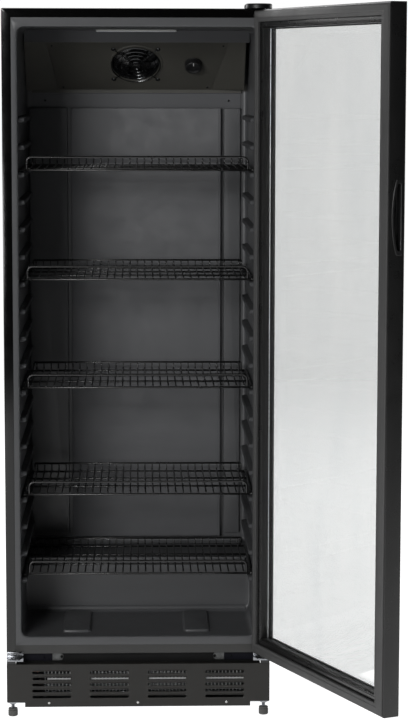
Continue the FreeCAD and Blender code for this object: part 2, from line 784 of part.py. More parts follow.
def compressor_plate():
    """Mounting plate under the compressor."""
    across = (COMPRESSOR_X - 105, COMPRESSOR_X + 105)
    return box("compressor_plate", across, (COMPRESSOR_Y - 62, COMPRESSOR_Y + 62), (50, 53))


def compressor_grommets():
    """Rubber feet between the mounting plate and the pan."""
    found = []
    for i, dx in enumerate((-90, 90)):
        for j, dy in enumerate((-48, 48)):
            place = (COMPRESSOR_X + dx, COMPRESSOR_Y + dy, SHELL_FOOT)
            found.append(rod(f"grommet_{i}_{j}", place, "z", 11, 50 - SHELL_FOOT))
    return group("compressor_grommets", found)


def condenser_coil():
    """Finned block behind the louvres, with its tube bends at both ends."""
    core = box("condenser_core", (-215, 235), (34, 74), (44, 112))
    ends = []
    for row in range(3):
        for column in range(2):
            place = (-226, 44 + 20 * column, 56 + 22 * row)
            ends.append(rod(f"condenser_tube_{row}_{column}", place, "x", 4, 472))
    return fuse("condenser_coil", [core] + ends)


FAN_SHROUD_Y = 78
COOLING_FAN_Z = 94


def condenser_fan_shroud():
    """Plate behind the condenser with a round collar for the fan."""
    plate = box("shroud_plate", (-215, 235), (FAN_SHROUD_Y, FAN_SHROUD_Y + 1.5), (SHELL_FOOT, 148))
    collar = rod("shroud_collar", (0, FAN_SHROUD_Y, COOLING_FAN_Z), "y", 52, 18)
    bore = rod("shroud_bore", (0, FAN_SHROUD_Y - 5, COOLING_FAN_Z), "y", 50, 40)
    return cut("condenser_fan_shroud", fuse("shroud_blank", [plate, collar]), [bore])


def condenser_fan_motor():
    """Motor behind the fan on a bracket that stands on the pan."""
    can = rod("cooling_motor_can", (0, FAN_SHROUD_Y + 34, COOLING_FAN_Z), "y", 27, 44)
    spindle = rod("cooling_spindle", (0, FAN_SHROUD_Y + 10, COOLING_FAN_Z), "y", 3, 30)
    leg = box("cooling_motor_leg", (-20, 20), (FAN_SHROUD_Y + 50, FAN_SHROUD_Y + 53), (SHELL_FOOT, COOLING_FAN_Z))
    foot = box("cooling_motor_foot", (-20, 20), (FAN_SHROUD_Y + 50, FAN_SHROUD_Y + 80), (SHELL_FOOT, SHELL_FOOT + 2))
    return fuse("condenser_fan_motor", [can, spindle, leg, foot])


def condenser_fan_blades():
    """Cooling fan, turning about the Y axis."""
    wheel = fan_blades("condenser_fan_blades", 16, 47, -10, 10, 3.05, 5)
    place = Vector(0, FAN_SHROUD_Y + 16, COOLING_FAN_Z)
    wheel.Placement = Placement(place, Rotation(Vector(1, 0, 0), 90))
    return wheel


def drip_tray():
    """Shallow tray over the compressor in which melt water evaporates."""
    outer = box("tray_outer", (-40, 180), (305, 445), (238, 264))
    inner = box("tray_inner", (-38, 178), (307, 443), (240, 270))
    ledge = box("tray_ledge", (-40, 180), (445, DEPTH - SHEET), (262, 264))
    return fuse("drip_tray", [cut("tray_bowl", outer, [inner]), ledge])


def filter_drier():
    """Copper drier with necked ends, standing beside the compressor."""
    profile = [(0, 0), (4, 0), (4, 12), (9, 20), (9, 84), (4, 92), (4, 104), (0, 104)]
    body = turned("filter_drier", profile)
    body.Placement = Placement(Vector(210, 430, 52), Rotation())
    return body


def refrigerant_pipes():
    """Discharge pipe to the condenser, liquid pipe to the drier and suction pipe up to the cold space."""
    discharge = bent_rod("discharge_pipe", [
        (COMPRESSOR_X - 40, COMPRESSOR_Y - 70, 100),
        (COMPRESSOR_X - 40, 250, 100),
        (-245, 250, 100),
        (-245, 44, 100),
        (-226, 44, 100),
    ], 9, 3.2)
    liquid = bent_rod("liquid_pipe", [
        (246, 64, 56),
        (262, 64, 56),
        (262, 430, 56),
        (262, 430, 44),
        (210, 430, 44),
        (210, 430, 52),
    ], 5, 2.6)
    suction = bent_rod("suction_pipe", [
        (COMPRESSOR_X, COMPRESSOR_Y, 219),
        (COMPRESSOR_X, COMPRESSOR_Y, 229),
        (-75, COMPRESSOR_Y, 229),
        (-75, COMPRESSOR_Y, COMPARTMENT_TOP - SHEET),
    ], 5, 4)
    return group("refrigerant_pipes", [discharge, liquid, suction])


def cord_gland():
    """Ring in the rear cover that a supply cord would pass through."""
    profile = [(4.5, -6), (GLAND_NECK, -6), (GLAND_NECK, 0), (12, 0), (12, 3), (9, 9), (4.5, 9)]
    body = turned("cord_gland", profile)
    body.Placement = Placement(Vector(GLAND_X, number(DEPTH), GLAND_Z), TURNS["y"])
    return body


# ---- feet

def foot_plates():
    """Zinc plates and nuts under the pan that the feet screw into."""
    found = []
    for name, x, y in feet_places():
        inward = 34 if name.endswith("left") else -34
        ends = (x - 10, x + inward) if inward > 0 else (x + inward, x + 10)
        plate = box(f"foot_plate_{name}", ends, (y - 12, y + 12), (SHELL_FOOT - 5, SHELL_FOOT - 2))
        nut = rod(f"foot_nut_{name}", (x, y, SHELL_FOOT - 11), "z", 8.5, 6.5)
        hole = rod(f"foot_thread_{name}", (x, y, 0), "z", STEM_RADIUS + 0.08, 60)
        found.append(cut(f"foot_mount_{name}", fuse(f"foot_blank_{name}", [plate, nut]), [hole]))
    return group("foot_plates", found)


def levelling_feet():
    """Four feet: a pad with a threaded stem."""
    found = []
    for name, x, y in feet_places():
        profile = [
            (0, 0),
            (FOOT_RADIUS - 1.5, 0),
            (FOOT_RADIUS, 1.5),
            (FOOT_RADIUS, FOOT_RISE),
            (STEM_RADIUS, FOOT_RISE),
            (STEM_RADIUS, 62),
            (0, 62),
        ]
        foot = turned(f"levelling_foot_{name}", profile)
        bind_base(foot, x, y, 0)
        found.append(foot)
    return found


# ---- door, drawn shut and then swung open

def swung(item):
    """Swing a door piece open about the hinge."""
    centre = Vector(number(HINGE_X), number(HINGE_Y), 0)
    item.Placement = Placement(Vector(), Rotation(Vector(0, 0, 1), number(DOOR_ANGLE)), centre)
    return item


def channel(edge, inward):
    """Section of a frame member: a bar with a slot for the glass along its inner edge."""
    far = edge + FRAME_WIDE * inward
    slot = edge + (FRAME_WIDE - GLASS_BITE) * inward
    front = GLASS_OUTER - 0.1
    back = GLASS_INNER + 0.1
    return [(edge, DOOR_OUTER), (far, DOOR_OUTER), (far, front), (slot, front), (slot, back), (far, back),
            (far, DOOR_INNER), (edge, DOOR_INNER)]


def hinge_stile():
    """Upright frame member on the hinge side, bored at both ends for the hinge bushes."""
    bar = prism("hinge_stile_bar", "XY_Plane", channel(HALF, -1), DOOR_FOOT, DOOR_TOP)
    low = rod("bush_seat_low", (HINGE_X, HINGE_Y, DOOR_FOOT - 1), "z", 7, 25)
    high = rod("bush_seat_high", (HINGE_X, HINGE_Y, DOOR_TOP - 24), "z", 7, 25)
    return swung(cut("door_hinge_stile", bar, [low, high]))


def free_stile():
    """Upright frame member on the free side, with the pocket for the handle cup."""
    bar = prism("free_stile_bar", "XY_Plane", channel(-HALF, 1), DOOR_FOOT, DOOR_TOP)
    pocket = box("cup_pocket", (-HALF - 1, 15 - HALF), (DOOR_INNER - 29.5, DOOR_INNER - 7.7), (CUP_FOOT, CUP_TOP))
    return swung(cut("door_free_stile", bar, [pocket]))


def rail(name, edge, inward):
    """Level frame member between the stiles."""
    points = [(y, z) for z, y in channel(edge, inward)]
    return swung(prism(name, "YZ_Plane", points, FRAME_WIDE - HALF, HALF - FRAME_WIDE))


def pane(name, low, high):
    """One sheet of glass, held in the slots of the frame."""
    reach = FRAME_WIDE - GLASS_BITE + 0.5
    across = (reach - HALF, HALF - reach)
    return box(name, across, (low, high), (DOOR_FOOT + reach, DOOR_TOP - reach))


def glass_spacer():
    """Black spacer between the two sheets of glass, all round the edge."""
    low = GLASS_OUTER + PANE
    high = GLASS_INNER - PANE
    block = pane("spacer_block", low, high)
    wide = FRAME_WIDE + 1
    hole = box("spacer_hole", (wide - HALF, HALF - wide), (low - 1, high + 1), (DOOR_FOOT + wide, DOOR_TOP - wide))
    return swung(cut("glass_spacer", block, [hole]))


def door_gasket():
    """Magnetic gasket round the inner face, lower towards its outer edge so that it clears the cabinet."""
    base_rise = 2.8
    slope = 13.5
    inset = GASKET_INSET
    foot = box("gasket_foot", (inset - HALF, HALF - inset), (DOOR_INNER, DOOR_INNER + base_rise),
               (DOOR_FOOT + inset, DOOR_TOP - inset))
    crown = doc.addObject("Part::Wedge", "gasket_crown")
    bind(crown, "Xmin", inset - HALF)
    bind(crown, "Xmax", HALF - inset)
    bind(crown, "Zmin", DOOR_FOOT + inset)
    bind(crown, "Zmax", DOOR_TOP - inset)
    bind(crown, "Ymin", DOOR_INNER + base_rise)
    bind(crown, "Ymax", DOOR_INNER + GASKET_RISE)
    bind(crown, "X2min", inset + slope - HALF)
    bind(crown, "X2max", HALF - inset - slope)
    bind(crown, "Z2min", DOOR_FOOT + inset + slope)
    bind(crown, "Z2max", DOOR_TOP - inset - slope)
    inner = GASKET_INSET + GASKET_WIDE
    hole = box("gasket_hole", (inner - HALF, HALF - inner), (DOOR_INNER - 1, 5), (DOOR_FOOT + inner, DOOR_TOP - inner))
    ring_form = cut("gasket_ring", fuse("gasket_blank", [foot, crown]), [hole])
    depth = (DOOR_INNER - 1, 5)
    full = (-HALF, HALF)
    between = (DOOR_FOOT + inner, DOOR_TOP - inner)
    zones = {
        "left": ((-HALF, inner - HALF), between),
        "right": ((HALF - inner, HALF), between),
        "bottom": (full, (DOOR_FOOT, between[0])),
        "top": (full, (between[1], DOOR_TOP)),
    }
    bars = []
    for side, (across, up) in zones.items():
        zone = box(f"gasket_zone_{side}", across, depth, up)
        bars.append(common(f"gasket_{side}", [ring_form, zone]))
    return swung(group("door_gasket", bars))


def handle_cup():
    """Recessed pull in the free edge: a lipped cup with a finger space."""
    near = DOOR_INNER - 8
    far = DOOR_INNER - 29.2
    block = box("cup_block", (-HALF, 14.8 - HALF), (far, near), (CUP_FOOT + 0.3, CUP_TOP - 0.3))
    lip = box("cup_lip", (-HALF - 0.8, -HALF), (far - 1.5, near + 1.5), (CUP_FOOT - 2, CUP_TOP + 2))
    hollow = box("cup_hollow", (-HALF - 2, 12.5 - HALF), (far + 2.5, near - 6), (CUP_FOOT + 16, CUP_TOP - 6))
    return swung(cut("handle_cup", fuse("cup_blank", [block, lip]), [hollow]))


def hinge_bushes():
    """Plastic bushes in the ends of the hinge stile; the lower one has a collar that carries the door."""
    bore = PIN_RADIUS + PIN_PLAY
    low_bore = rod("bush_bore_low", (0, 0, 0), "z", bore, 300)
    low = fuse("bush_low_blank", [
        rod("bush_low_tube", (0, 0, DOOR_FOOT), "z", 7, 24),
        rod("bush_low_collar", (0, 0, BRACKET_TOP + CLEARANCE), "z", 9, DOOR_FOOT - BRACKET_TOP - CLEARANCE),
    ])
    high_bore = rod("bush_bore_high", (0, 0, DOOR_TOP - 50), "z", bore, 100)
    high = rod("bush_high_tube", (0, 0, DOOR_TOP - 24), "z", 7, 24)
    pair = group("hinge_bushes", [cut("bush_low", low, [low_bore]), cut("bush_high", high, [high_bore])])
    pair.Placement = Placement(Vector(number(HINGE_X), number(HINGE_Y), 0), Rotation())
    return pair


# ---- hinges

BRACKET_TOP = 148


def top_hinge_plate():
    """Steel plate on the cabinet's top with the upper pin under its nose and two screw heads."""
    plate = box("top_plate_bar", (243, 293.5), (-14, 46), (HEIGHT, HEIGHT + 3))
    nose = rod("top_plate_nose", (268.2, -14, HEIGHT), "z", 24.5, 3)
    pin = rod("top_pin", (HINGE_X, HINGE_Y, DOOR_TOP - 20), "z", PIN_RADIUS, HEIGHT - DOOR_TOP + 21)
    heads = [rod(f"top_screw_{i + 1}", (x, 30, HEIGHT + 3), "z", 5, 3) for i, x in enumerate((254, 282))]
    return fuse("top_hinge_plate", [plate, nose, pin] + heads)


def top_hinge_cover():
    """Half-moon plastic cover over the top hinge plate, open below."""
    top = HEIGHT + 11
    outer = fuse("hood_outer", [
        box("hood_bar", (239, 297.5), (-14, 50), (HEIGHT, top)),
        rod("hood_nose", (268.25, -14, HEIGHT), "z", 29.2, 11),
    ])
    inner = fuse("hood_inner", [
        box("hood_bar_hollow", (241.5, 295), (-14, 47.5), (HEIGHT - 1, top - 2)),
        rod("hood_nose_hollow", (268.25, -14, HEIGHT - 1), "z", 26.7, 10),
    ])
    return cut("top_hinge_cover", outer, [inner])


def hinge_bracket(name, sign, pin):
    """Zinc bracket on the front flange: an upright leg and a rounded tongue, with or without the lower pin."""
    centre = HINGE_X * sign
    across = (262, 299) if sign > 0 else (-299, -262)
    leg = box(f"{name}_leg", across, (-3, 0), (BRACKET_TOP - 14, DOOR_FOOT - CLEARANCE))
    tongue = box(f"{name}_tongue", across, (-24, 0), (BRACKET_TOP - 3, BRACKET_TOP))
    nose = rod(f"{name}_nose", (centre, HINGE_Y, BRACKET_TOP - 3), "z", 15, 3)
    pieces = [leg, tongue, nose]
    if pin:
        pieces.append(rod(f"{name}_pin", (centre, HINGE_Y, BRACKET_TOP - 1), "z", PIN_RADIUS, 28))
        return fuse(name, pieces)
    hole = rod(f"{name}_hole", (centre, HINGE_Y, 100), "z", PIN_RADIUS + 0.5, 100)
    return cut(name, fuse(f"{name}_blank", pieces), [hole])


def hinge_backing_plates():
    """Dark plates in the recess behind the brackets, with rounded inner ends."""
    found = []
    middle = (PANEL_TOP + RAIL_FOOT) / 2
    face = RECESS_DEPTH - PANEL_SHEET - 3
    for side, sign in (("left", -1), ("right", 1)):
        across = (192, 274) if sign > 0 else (-274, -192)
        bar = box(f"backing_bar_{side}", across, (face, face + 3), (middle - 9, middle + 9))
        end = rod(f"backing_end_{side}", (192 * sign, face, middle), "y", 9, 3)
        found.append(fuse(f"backing_{side}", [bar, end]))
    return group("hinge_backing_plates", found)


# ---- assembly

def build():
    """Every node of the object."""
    glass = {
        "outer_glass": (GLASS_OUTER, GLASS_OUTER + PANE),
        "inner_glass": (GLASS_INNER - PANE, GLASS_INNER),
    }
    outside = liner_form("liner_outside", LINER_SHEET)
    fan_wheel = fan_blades("evaporator_fan_blades", 17, 53, -15, -4, 1.55, 7)
    nodes = [
        outer_shell(),
        inner_liner(outside),
        insulation_foam(outside),
        shelf_ribs("left", -1),
        shelf_ribs("right", 1),
        back_panel(),
        rear_grille(),
        floor_deck(),
        base_pan(),
        lower_front_rail(),
        base_panel(),
        base_panel_screws(),
        air_duct_panel(),
        drain_channel(),
        evaporator_cover(),
        evaporator_coil(),
        evaporator_fan_frame(),
        placed(fan_wheel, on_slope(FAN_ACROSS, FAN_UP)),
        evaporator_fan_guard(),
        thermostat_body(),
        thermostat_knob(),
        lamp_housing(),
        lamp_lens(),
        compressor(),
        compressor_plate(),
        compressor_grommets(),
        condenser_coil(),
        condenser_fan_shroud(),
        condenser_fan_motor(),
        condenser_fan_blades(),
        drip_tray(),
        filter_drier(),
        refrigerant_pipes(),
        cord_gland(),
        foot_plates(),
        top_hinge_plate(),
        top_hinge_cover(),
        hinge_bracket("hinge_bracket_right", 1, True),
        hinge_bracket("hinge_bracket_left", -1, False),
        hinge_backing_plates(),
        hinge_stile(),
        free_stile(),
        rail("door_top_rail", DOOR_TOP, -1),
        rail("door_bottom_rail", DOOR_FOOT, 1),
        *[swung(group(name, [pane(f"{name}_sheet", *faces)])) for name, faces in glass.items()],
        glass_spacer(),
        door_gasket(),
        handle_cup(),
        hinge_bushes(),
    ]
    return nodes + shelves() + levelling_feet()


def faults():
    """Names of objects that failed to compute."""
    return [item.Name for item in doc.Objects if "Invalid" in item.State or "Error" in item.State]


nodes = build()
doc.recompute()
broken = faults()
if broken:
    raise RuntimeError(f"objects that failed: {broken}")
for node in nodes:
    node.Label = node.Name
    if node.Shape.isNull() or not node.Shape.isValid():
        raise RuntimeError(f"{node.Name} has no valid shape")
os.makedirs("parts", exist_ok=True)
for node in nodes:
    node.Shape.exportStep(f"parts/{node.Label}.step")
    print(node.Label, round(node.Shape.Volume / 1000, 1), "cm3", len(node.Shape.Solids), "solids")
print(len(nodes), "nodes")
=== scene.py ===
"""Looks of the upright glass door merchandiser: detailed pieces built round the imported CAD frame.

Shapes are worked out in millimetres in the CAD frame and turned into metres when a piece is made.
Pieces of the door are drawn shut and then swung to the angle that the CAD holds.
"""

import json
import math

import bmesh
import bpy
from mathutils import Euler, Matrix, Quaternion, Vector
from mathutils.geometry import tessellate_polygon


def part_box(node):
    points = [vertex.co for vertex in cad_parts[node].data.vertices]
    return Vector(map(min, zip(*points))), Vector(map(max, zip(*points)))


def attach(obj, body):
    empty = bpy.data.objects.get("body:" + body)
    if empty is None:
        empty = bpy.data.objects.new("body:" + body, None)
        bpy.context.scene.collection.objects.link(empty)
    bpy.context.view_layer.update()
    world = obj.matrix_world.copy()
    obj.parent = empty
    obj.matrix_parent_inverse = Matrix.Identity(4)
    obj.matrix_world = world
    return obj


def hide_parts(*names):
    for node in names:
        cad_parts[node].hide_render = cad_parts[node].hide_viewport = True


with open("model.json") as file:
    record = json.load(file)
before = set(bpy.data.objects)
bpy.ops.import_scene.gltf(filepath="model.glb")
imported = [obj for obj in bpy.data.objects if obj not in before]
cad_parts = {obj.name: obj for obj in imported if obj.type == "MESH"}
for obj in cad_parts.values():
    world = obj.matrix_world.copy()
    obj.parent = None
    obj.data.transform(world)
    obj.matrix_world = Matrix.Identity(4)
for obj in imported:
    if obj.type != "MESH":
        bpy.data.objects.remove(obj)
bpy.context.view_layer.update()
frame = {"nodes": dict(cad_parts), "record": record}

MM = 0.001
SLOT_OF = {part["node"]: part["material_slot"] for part in frame["record"]["subparts"]}
BODY_OF = {node: body for body, nodes in frame["record"]["behaviour"]["bodies"].items() for node in nodes}


def mm_box(node):
    """Lowest and highest corner of a CAD node in millimetres."""
    low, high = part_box(node)
    return low / MM, high / MM


def middle_of(node):
    """Middle of a CAD node in millimetres."""
    low, high = mm_box(node)
    return (low + high) / 2


def angles(steps):
    """Angles of evenly spaced points round a full circle."""
    return [2 * math.pi * i / steps for i in range(steps)]


def quarter(steps):
    """Angles from 0 to a right angle, both ends counted."""
    return [math.pi / 2 * i / steps for i in range(steps + 1)]


def circle_points(radius, steps):
    """(a, b) points of a circle, anticlockwise."""
    return [(radius * math.cos(angle), radius * math.sin(angle)) for angle in angles(steps)]


def placed_circle(turn, radius, height, steps):
    """A circle about local Z at a height, placed by a matrix."""
    return [turn @ Vector((a, b, height)) for a, b in circle_points(radius, steps)]


# ---- places taken from the CAD

SHELL_LOW, SHELL_HIGH = mm_box("outer_shell")
LINER_LOW, LINER_HIGH = mm_box("inner_liner")
HALF = SHELL_HIGH.x
TOP = SHELL_HIGH.z
BACK = SHELL_HIGH.y
RIM_SIDE = LINER_HIGH.x
HINGE = Vector((283.5, -26.5, 0))
DOOR_TURN = math.radians(113.5)
SWING = Matrix.Translation(HINGE) @ Matrix.Rotation(DOOR_TURN, 4, "Z") @ Matrix.Translation(-HINGE)


# ---- node materials

def tone(r, g, b):
    """A linear colour from screen values out of 255."""
    linear = []
    for value in (r, g, b):
        part = value / 255
        linear.append(part / 12.92 if part <= 0.04045 else ((part + 0.055) / 1.055) ** 2.4)
    return (*linear, 1.0)


class Nodes:
    """Short names for building one material's node tree."""

    def __init__(self, name):
        self.material = bpy.data.materials.new(name)
        self.material.use_nodes = True
        self.tree = self.material.node_tree
        self.shader = self.tree.nodes["Principled BSDF"]
        self.place = self.node("ShaderNodeTexCoord").outputs["Object"]

    def node(self, kind, inputs=None, **settings):
        made = self.tree.nodes.new(kind)
        for key, value in settings.items():
            setattr(made, key, value)
        for key, value in (inputs or {}).items():
            self.put(made.inputs[key], value)
        return made

    def put(self, socket, value):
        if isinstance(value, bpy.types.NodeSocket):
            self.tree.links.new(value, socket)
        else:
            socket.default_value = value

    def set(self, socket, value):
        self.put(self.shader.inputs[socket], value)

    def stretched(self, scale):
        """Object coordinates scaled differently along each axis."""
        return self.node("ShaderNodeMapping", {"Vector": self.place, "Scale": scale}).outputs[0]

    def noise(self, scale, detail=2.0, roughness=0.5, vector=None):
        inputs = {"Vector": vector or self.place, "Scale": scale, "Detail": detail, "Roughness": roughness}
        return self.node("ShaderNodeTexNoise", inputs).outputs["Fac"]

    def spread(self, value, low, high, start=0.3, end=0.7):
        """A 0..1 pattern mapped to a range."""
        inputs = {"Value": value, "From Min": start, "From Max": end, "To Min": low, "To Max": high}
        return self.node("ShaderNodeMapRange", inputs).outputs[0]

    def maths(self, operation, first, second=0.0):
        return self.node("ShaderNodeMath", {0: first, 1: second}, operation=operation).outputs[0]

    def mix(self, amount, first, second):
        made = self.node("ShaderNodeMix", data_type="RGBA")
        self.put(made.inputs[0], amount)
        self.put(made.inputs[6], first)
        self.put(made.inputs[7], second)
        return made.outputs[2]

    def bump(self, height, distance):
        inputs = {"Height": height, "Distance": distance, "Strength": 1.0}
        return self.node("ShaderNodeBump", inputs).outputs[0]

    def edges(self, radius):
        """1 on sharp outer and inner edges, 0 on flat surfaces."""
        soft = self.node("ShaderNodeBevel", {"Radius": radius}, samples=4).outputs[0]
        true = self.node("ShaderNodeNewGeometry").outputs["Normal"]
        same = self.node("ShaderNodeVectorMath", {0: soft, 1: true}, operation="DOT_PRODUCT").outputs["Value"]
        return self.spread(same, 1.0, 0.0, 0.8, 0.995)

    def upward(self):
        """1 on surfaces that face up, where dust settles."""
        normal = self.node("ShaderNodeNewGeometry").outputs["Normal"]
        return self.node("ShaderNodeSeparateXYZ", {"Vector": normal}).outputs["Z"]


def shaded(colour, factor):
    """A colour made lighter or darker."""
    return (*[min(1.0, part * factor) for part in colour[:3]], 1.0)


DUST = tone(150, 147, 140)
EDGE_REACH = 0.0012
SCRATCH_DEPTH = 0.00001


def coated(name, colour, rough, mottle=0.12, grain=(1400, 0.00002), rough_spread=0.06, wear=0.0, dust=0.06,
           coat=0.0, specular=0.5, smudge=7.0):
    """Paint or plastic: faint cloudy colour, uneven gloss, fine grain, dust on top and lighter edges.

    The grain is its (scale, depth in metres).
    """
    n = Nodes(name)
    clouds = n.noise(smudge, 4.0, 0.6)
    base = n.mix(n.spread(clouds, 0.0, 1.0), shaded(colour, 1 - mottle), shaded(colour, 1 + mottle))
    dirt = n.maths("MULTIPLY", n.spread(n.upward(), 0.0, dust, 0.6, 1.0), n.noise(45, 5.0, 0.7))
    base = n.mix(dirt, base, DUST)
    if wear:
        rubbed = n.spread(n.noise(120, 5.0, 0.7), 0.0, wear, 0.35, 0.65)
        rub = n.maths("MULTIPLY", n.edges(EDGE_REACH), rubbed)
        base = n.mix(rub, base, shaded(colour, 2.6))
    n.set("Base Color", base)
    patches = n.noise(23, 5.0, 0.65)
    n.set("Roughness", n.spread(patches, rough - rough_spread, rough + rough_spread))
    grain_scale, grain_depth = grain
    n.set("Normal", n.bump(n.noise(grain_scale, 3.0, 0.6), grain_depth))
    n.shader.inputs["Specular IOR Level"].default_value = specular
    n.shader.inputs["Coat Weight"].default_value = coat
    n.shader.inputs["Coat Roughness"].default_value = 0.12
    return n.material


def metal(name, colour, rough, brushed=(60, 60, 900), spangle=0.0, stain=0.15):
    """Bare or plated metal with rolling marks along one direction, stains and optional zinc spangle."""
    n = Nodes(name)
    lines = n.noise(1.0, 2.0, 0.5, n.stretched(brushed))
    stains = n.noise(30, 5.0, 0.7)
    base = n.mix(n.spread(stains, 0.0, 1.0, 0.35, 0.75), colour, shaded(colour, 1 - stain * 2))
    rough_value = n.spread(lines, rough - 0.07, rough + 0.08)
    if spangle:
        cells = n.node("ShaderNodeTexVoronoi", {"Vector": n.place, "Scale": 160.0}).outputs["Color"]
        flake = n.node("ShaderNodeSeparateColor", {"Color": cells}).outputs[0]
        base = n.mix(n.maths("MULTIPLY", flake, spangle), base, shaded(colour, 0.55))
        rough_value = n.maths("ADD", rough_value, n.maths("MULTIPLY", flake, 0.12))
    n.set("Base Color", base)
    n.set("Roughness", rough_value)
    n.set("Normal", n.bump(lines, SCRATCH_DEPTH))
    n.shader.inputs["Metallic"].default_value = 1.0
    return n.material


def clear_glass():
    """Pale float glass with faint smears in its gloss."""
    n = Nodes("float_glass")
    smears = n.noise(9, 5.0, 0.7, n.stretched((1, 1, 0.25)))
    n.set("Base Color", n.mix(n.spread(smears, 0.0, 1.0), (0.93, 0.94, 0.94, 1), (0.97, 0.975, 0.97, 1)))
    n.set("Roughness", n.spread(smears, 0.0, 0.018, 0.45, 0.8))
    n.shader.inputs["Transmission Weight"].default_value = 1.0
    n.shader.inputs["IOR"].default_value = 1.5
    return n.material


def lamp_glow():
    """Ribbed opal lens with a faint cool light behind it."""
    n = Nodes("lamp_opal")
    ribs = n.node("ShaderNodeTexWave", {"Vector": n.place, "Scale": 60.0}, bands_direction="X").outputs["Fac"]
    n.set("Base Color", n.mix(ribs, tone(205, 212, 214), tone(236, 240, 240)))
    n.set("Roughness", n.spread(n.noise(200, 3.0), 0.3, 0.42))
    n.set("Normal", n.bump(ribs, 0.0003))
    n.shader.inputs["Emission Color"].default_value = (0.85, 0.95, 1.0, 1.0)
    n.shader.inputs["Emission Strength"].default_value = 0.05
    return n.material


SHELL = coated("paint_black", tone(6, 6, 6), 0.1, grain=(180, 0.00001), wear=0.5, mottle=0.1,
               rough_spread=0.02, dust=0.02)
LINER = coated("liner_dark_grey", tone(86, 87, 89), 0.36, grain=(900, 0.00002), mottle=0.02, dust=0.02,
               rough_spread=0.03)
PANEL = coated("paint_base_panel", tone(46, 45, 43), 0.42, specular=0.32, grain=(420, 0.00004), wear=0.35)
RAIL = coated("rail_grey", tone(50, 50, 49), 0.5, grain=(900, 0.00002), wear=0.12, mottle=0.04)
# painted shade: near-black finish for the shaded recess of the front rail
RAIL_PAINTED_SHADE = coated("rail_recess_painted_shade", tone(9, 9, 10), 0.6, specular=0.25, grain=(900, 0.00003), mottle=0.2)
DRAIN = coated("drain_grey", tone(118, 119, 121), 0.45, grain=(1200, 0.00002), mottle=0.04)
# painted shade: dark blue-black for the zinc backing plates in the rail's recess
BACKING_PAINTED_SHADE = coated("backing_plate_painted_shade", tone(13, 13, 23), 0.5, specular=0.12, grain=(700, 0.00003), wear=0.4,
               mottle=0.25)
DUCT = coated("duct_grey", tone(84, 85, 88), 0.5, grain=(900, 0.00002), mottle=0.02)
COVER = coated("cover_grey", tone(72, 71, 66), 0.45, grain=(700, 0.00003), wear=0.2)
DARK_PLASTIC = coated("plastic_black", tone(24, 24, 25), 0.42, grain=(1500, 0.00004), wear=0.25)
GLOSS_PLASTIC = coated("plastic_gloss", tone(16, 16, 17), 0.22, grain=(300, 0.00001), wear=0.2)
RUBBER = coated("rubber_black", tone(30, 30, 30), 0.75, grain=(2200, 0.00006), mottle=0.2)
GASKET = coated("gasket_vinyl", tone(84, 84, 84), 0.55, grain=(1800, 0.00003), mottle=0.08)
DOOR_PAINT = coated("paint_door", tone(30, 30, 30), 0.3, coat=0.25, grain=(300, 0.00003), wear=0.25)
BEAD = metal("bead_bright", tone(176, 178, 180), 0.3, brushed=(40, 40, 900))
SPACER = coated("spacer_black", tone(12, 12, 12), 0.4, grain=(1500, 0.00002))
WIRE = coated("wire_black", tone(20, 20, 20), 0.3, grain=(700, 0.00003), wear=0.3, coat=0.3)
FOAM = coated("foam_buff", tone(196, 176, 120), 0.85, grain=(600, 0.0004), mottle=0.15, smudge=40)
FOOT_PAD = coated("foot_pad_grey", tone(96, 96, 94), 0.6, grain=(1500, 0.00005), mottle=0.12)
FAN_GLOSS = coated("fan_gloss", tone(20, 20, 21), 0.2, grain=(600, 0.00002), mottle=0.1)
KNOB_BLACK = coated("knob_black", tone(22, 22, 23), 0.36, grain=(1600, 0.00004), wear=0.3)
WHITE = coated("plastic_white", tone(214, 215, 212), 0.4, grain=(1200, 0.00003), mottle=0.03)
ZINC = metal("zinc_plate", tone(150, 152, 156), 0.16, spangle=0.2)
# painted highlight: near-white wires that show as bright lines through the louvre slots
WIRE_PAINTED_HIGHLIGHT = coated("wire_painted_highlight", tone(228, 229, 230), 0.3, grain=(900, 0.00002), mottle=0.06)
RIB = coated("rib_grey", tone(78, 79, 81), 0.6, grain=(900, 0.00002), mottle=0.03, specular=0.2)
ZINC_DULL = metal("zinc_dull", tone(96, 97, 97), 0.4, spangle=0.3)
STEEL = metal("screw_steel", tone(206, 206, 204), 0.24, brushed=(700, 700, 60))
GALVANISED = metal("galvanised", tone(168, 171, 174), 0.38, brushed=(12, 12, 500), spangle=0.4)
ALUMINIUM = metal("fin_aluminium", tone(204, 207, 210), 0.3, brushed=(1500, 20, 20), stain=0.1)
COPPER = metal("copper_tube", tone(205, 128, 92), 0.28, brushed=(300, 40, 40), stain=0.35)
GUARD = metal("guard_chrome", tone(84, 85, 86), 0.2, brushed=(900, 900, 900), stain=0.1)
GLASS = clear_glass()
LAMP = lamp_glow()

SLOT_FINISH = {
    "shell_black": SHELL, "liner_grey": LINER, "foam": FOAM, "galvanised": GALVANISED, "panel_dark": PANEL,
    "zinc": ZINC, "screw_steel": STEEL, "duct_grey": DUCT, "cover_dark": COVER, "coil_fins": ALUMINIUM,
    "fan_plastic": DARK_PLASTIC, "guard_wire": GUARD, "control_plastic": DARK_PLASTIC, "lamp_white": WHITE,
    "lamp_lens": LAMP, "compressor_black": GLOSS_PLASTIC, "rubber_black": RUBBER, "copper": COPPER,
    "shelf_black": WIRE, "door_black": DOOR_PAINT, "glass": GLASS, "spacer_black": SPACER,
    "gasket_grey": GASKET, "cup_black": DARK_PLASTIC, "bush_plastic": DARK_PLASTIC,
    "tray_plastic": DARK_PLASTIC,
}


def finish_cad_nodes():
    """Every CAD node takes the finish of its slot."""
    for name, node in frame["nodes"].items():
        node.data.materials.clear()
        node.data.materials.append(SLOT_FINISH[SLOT_OF[name]])


# ---- mesh building

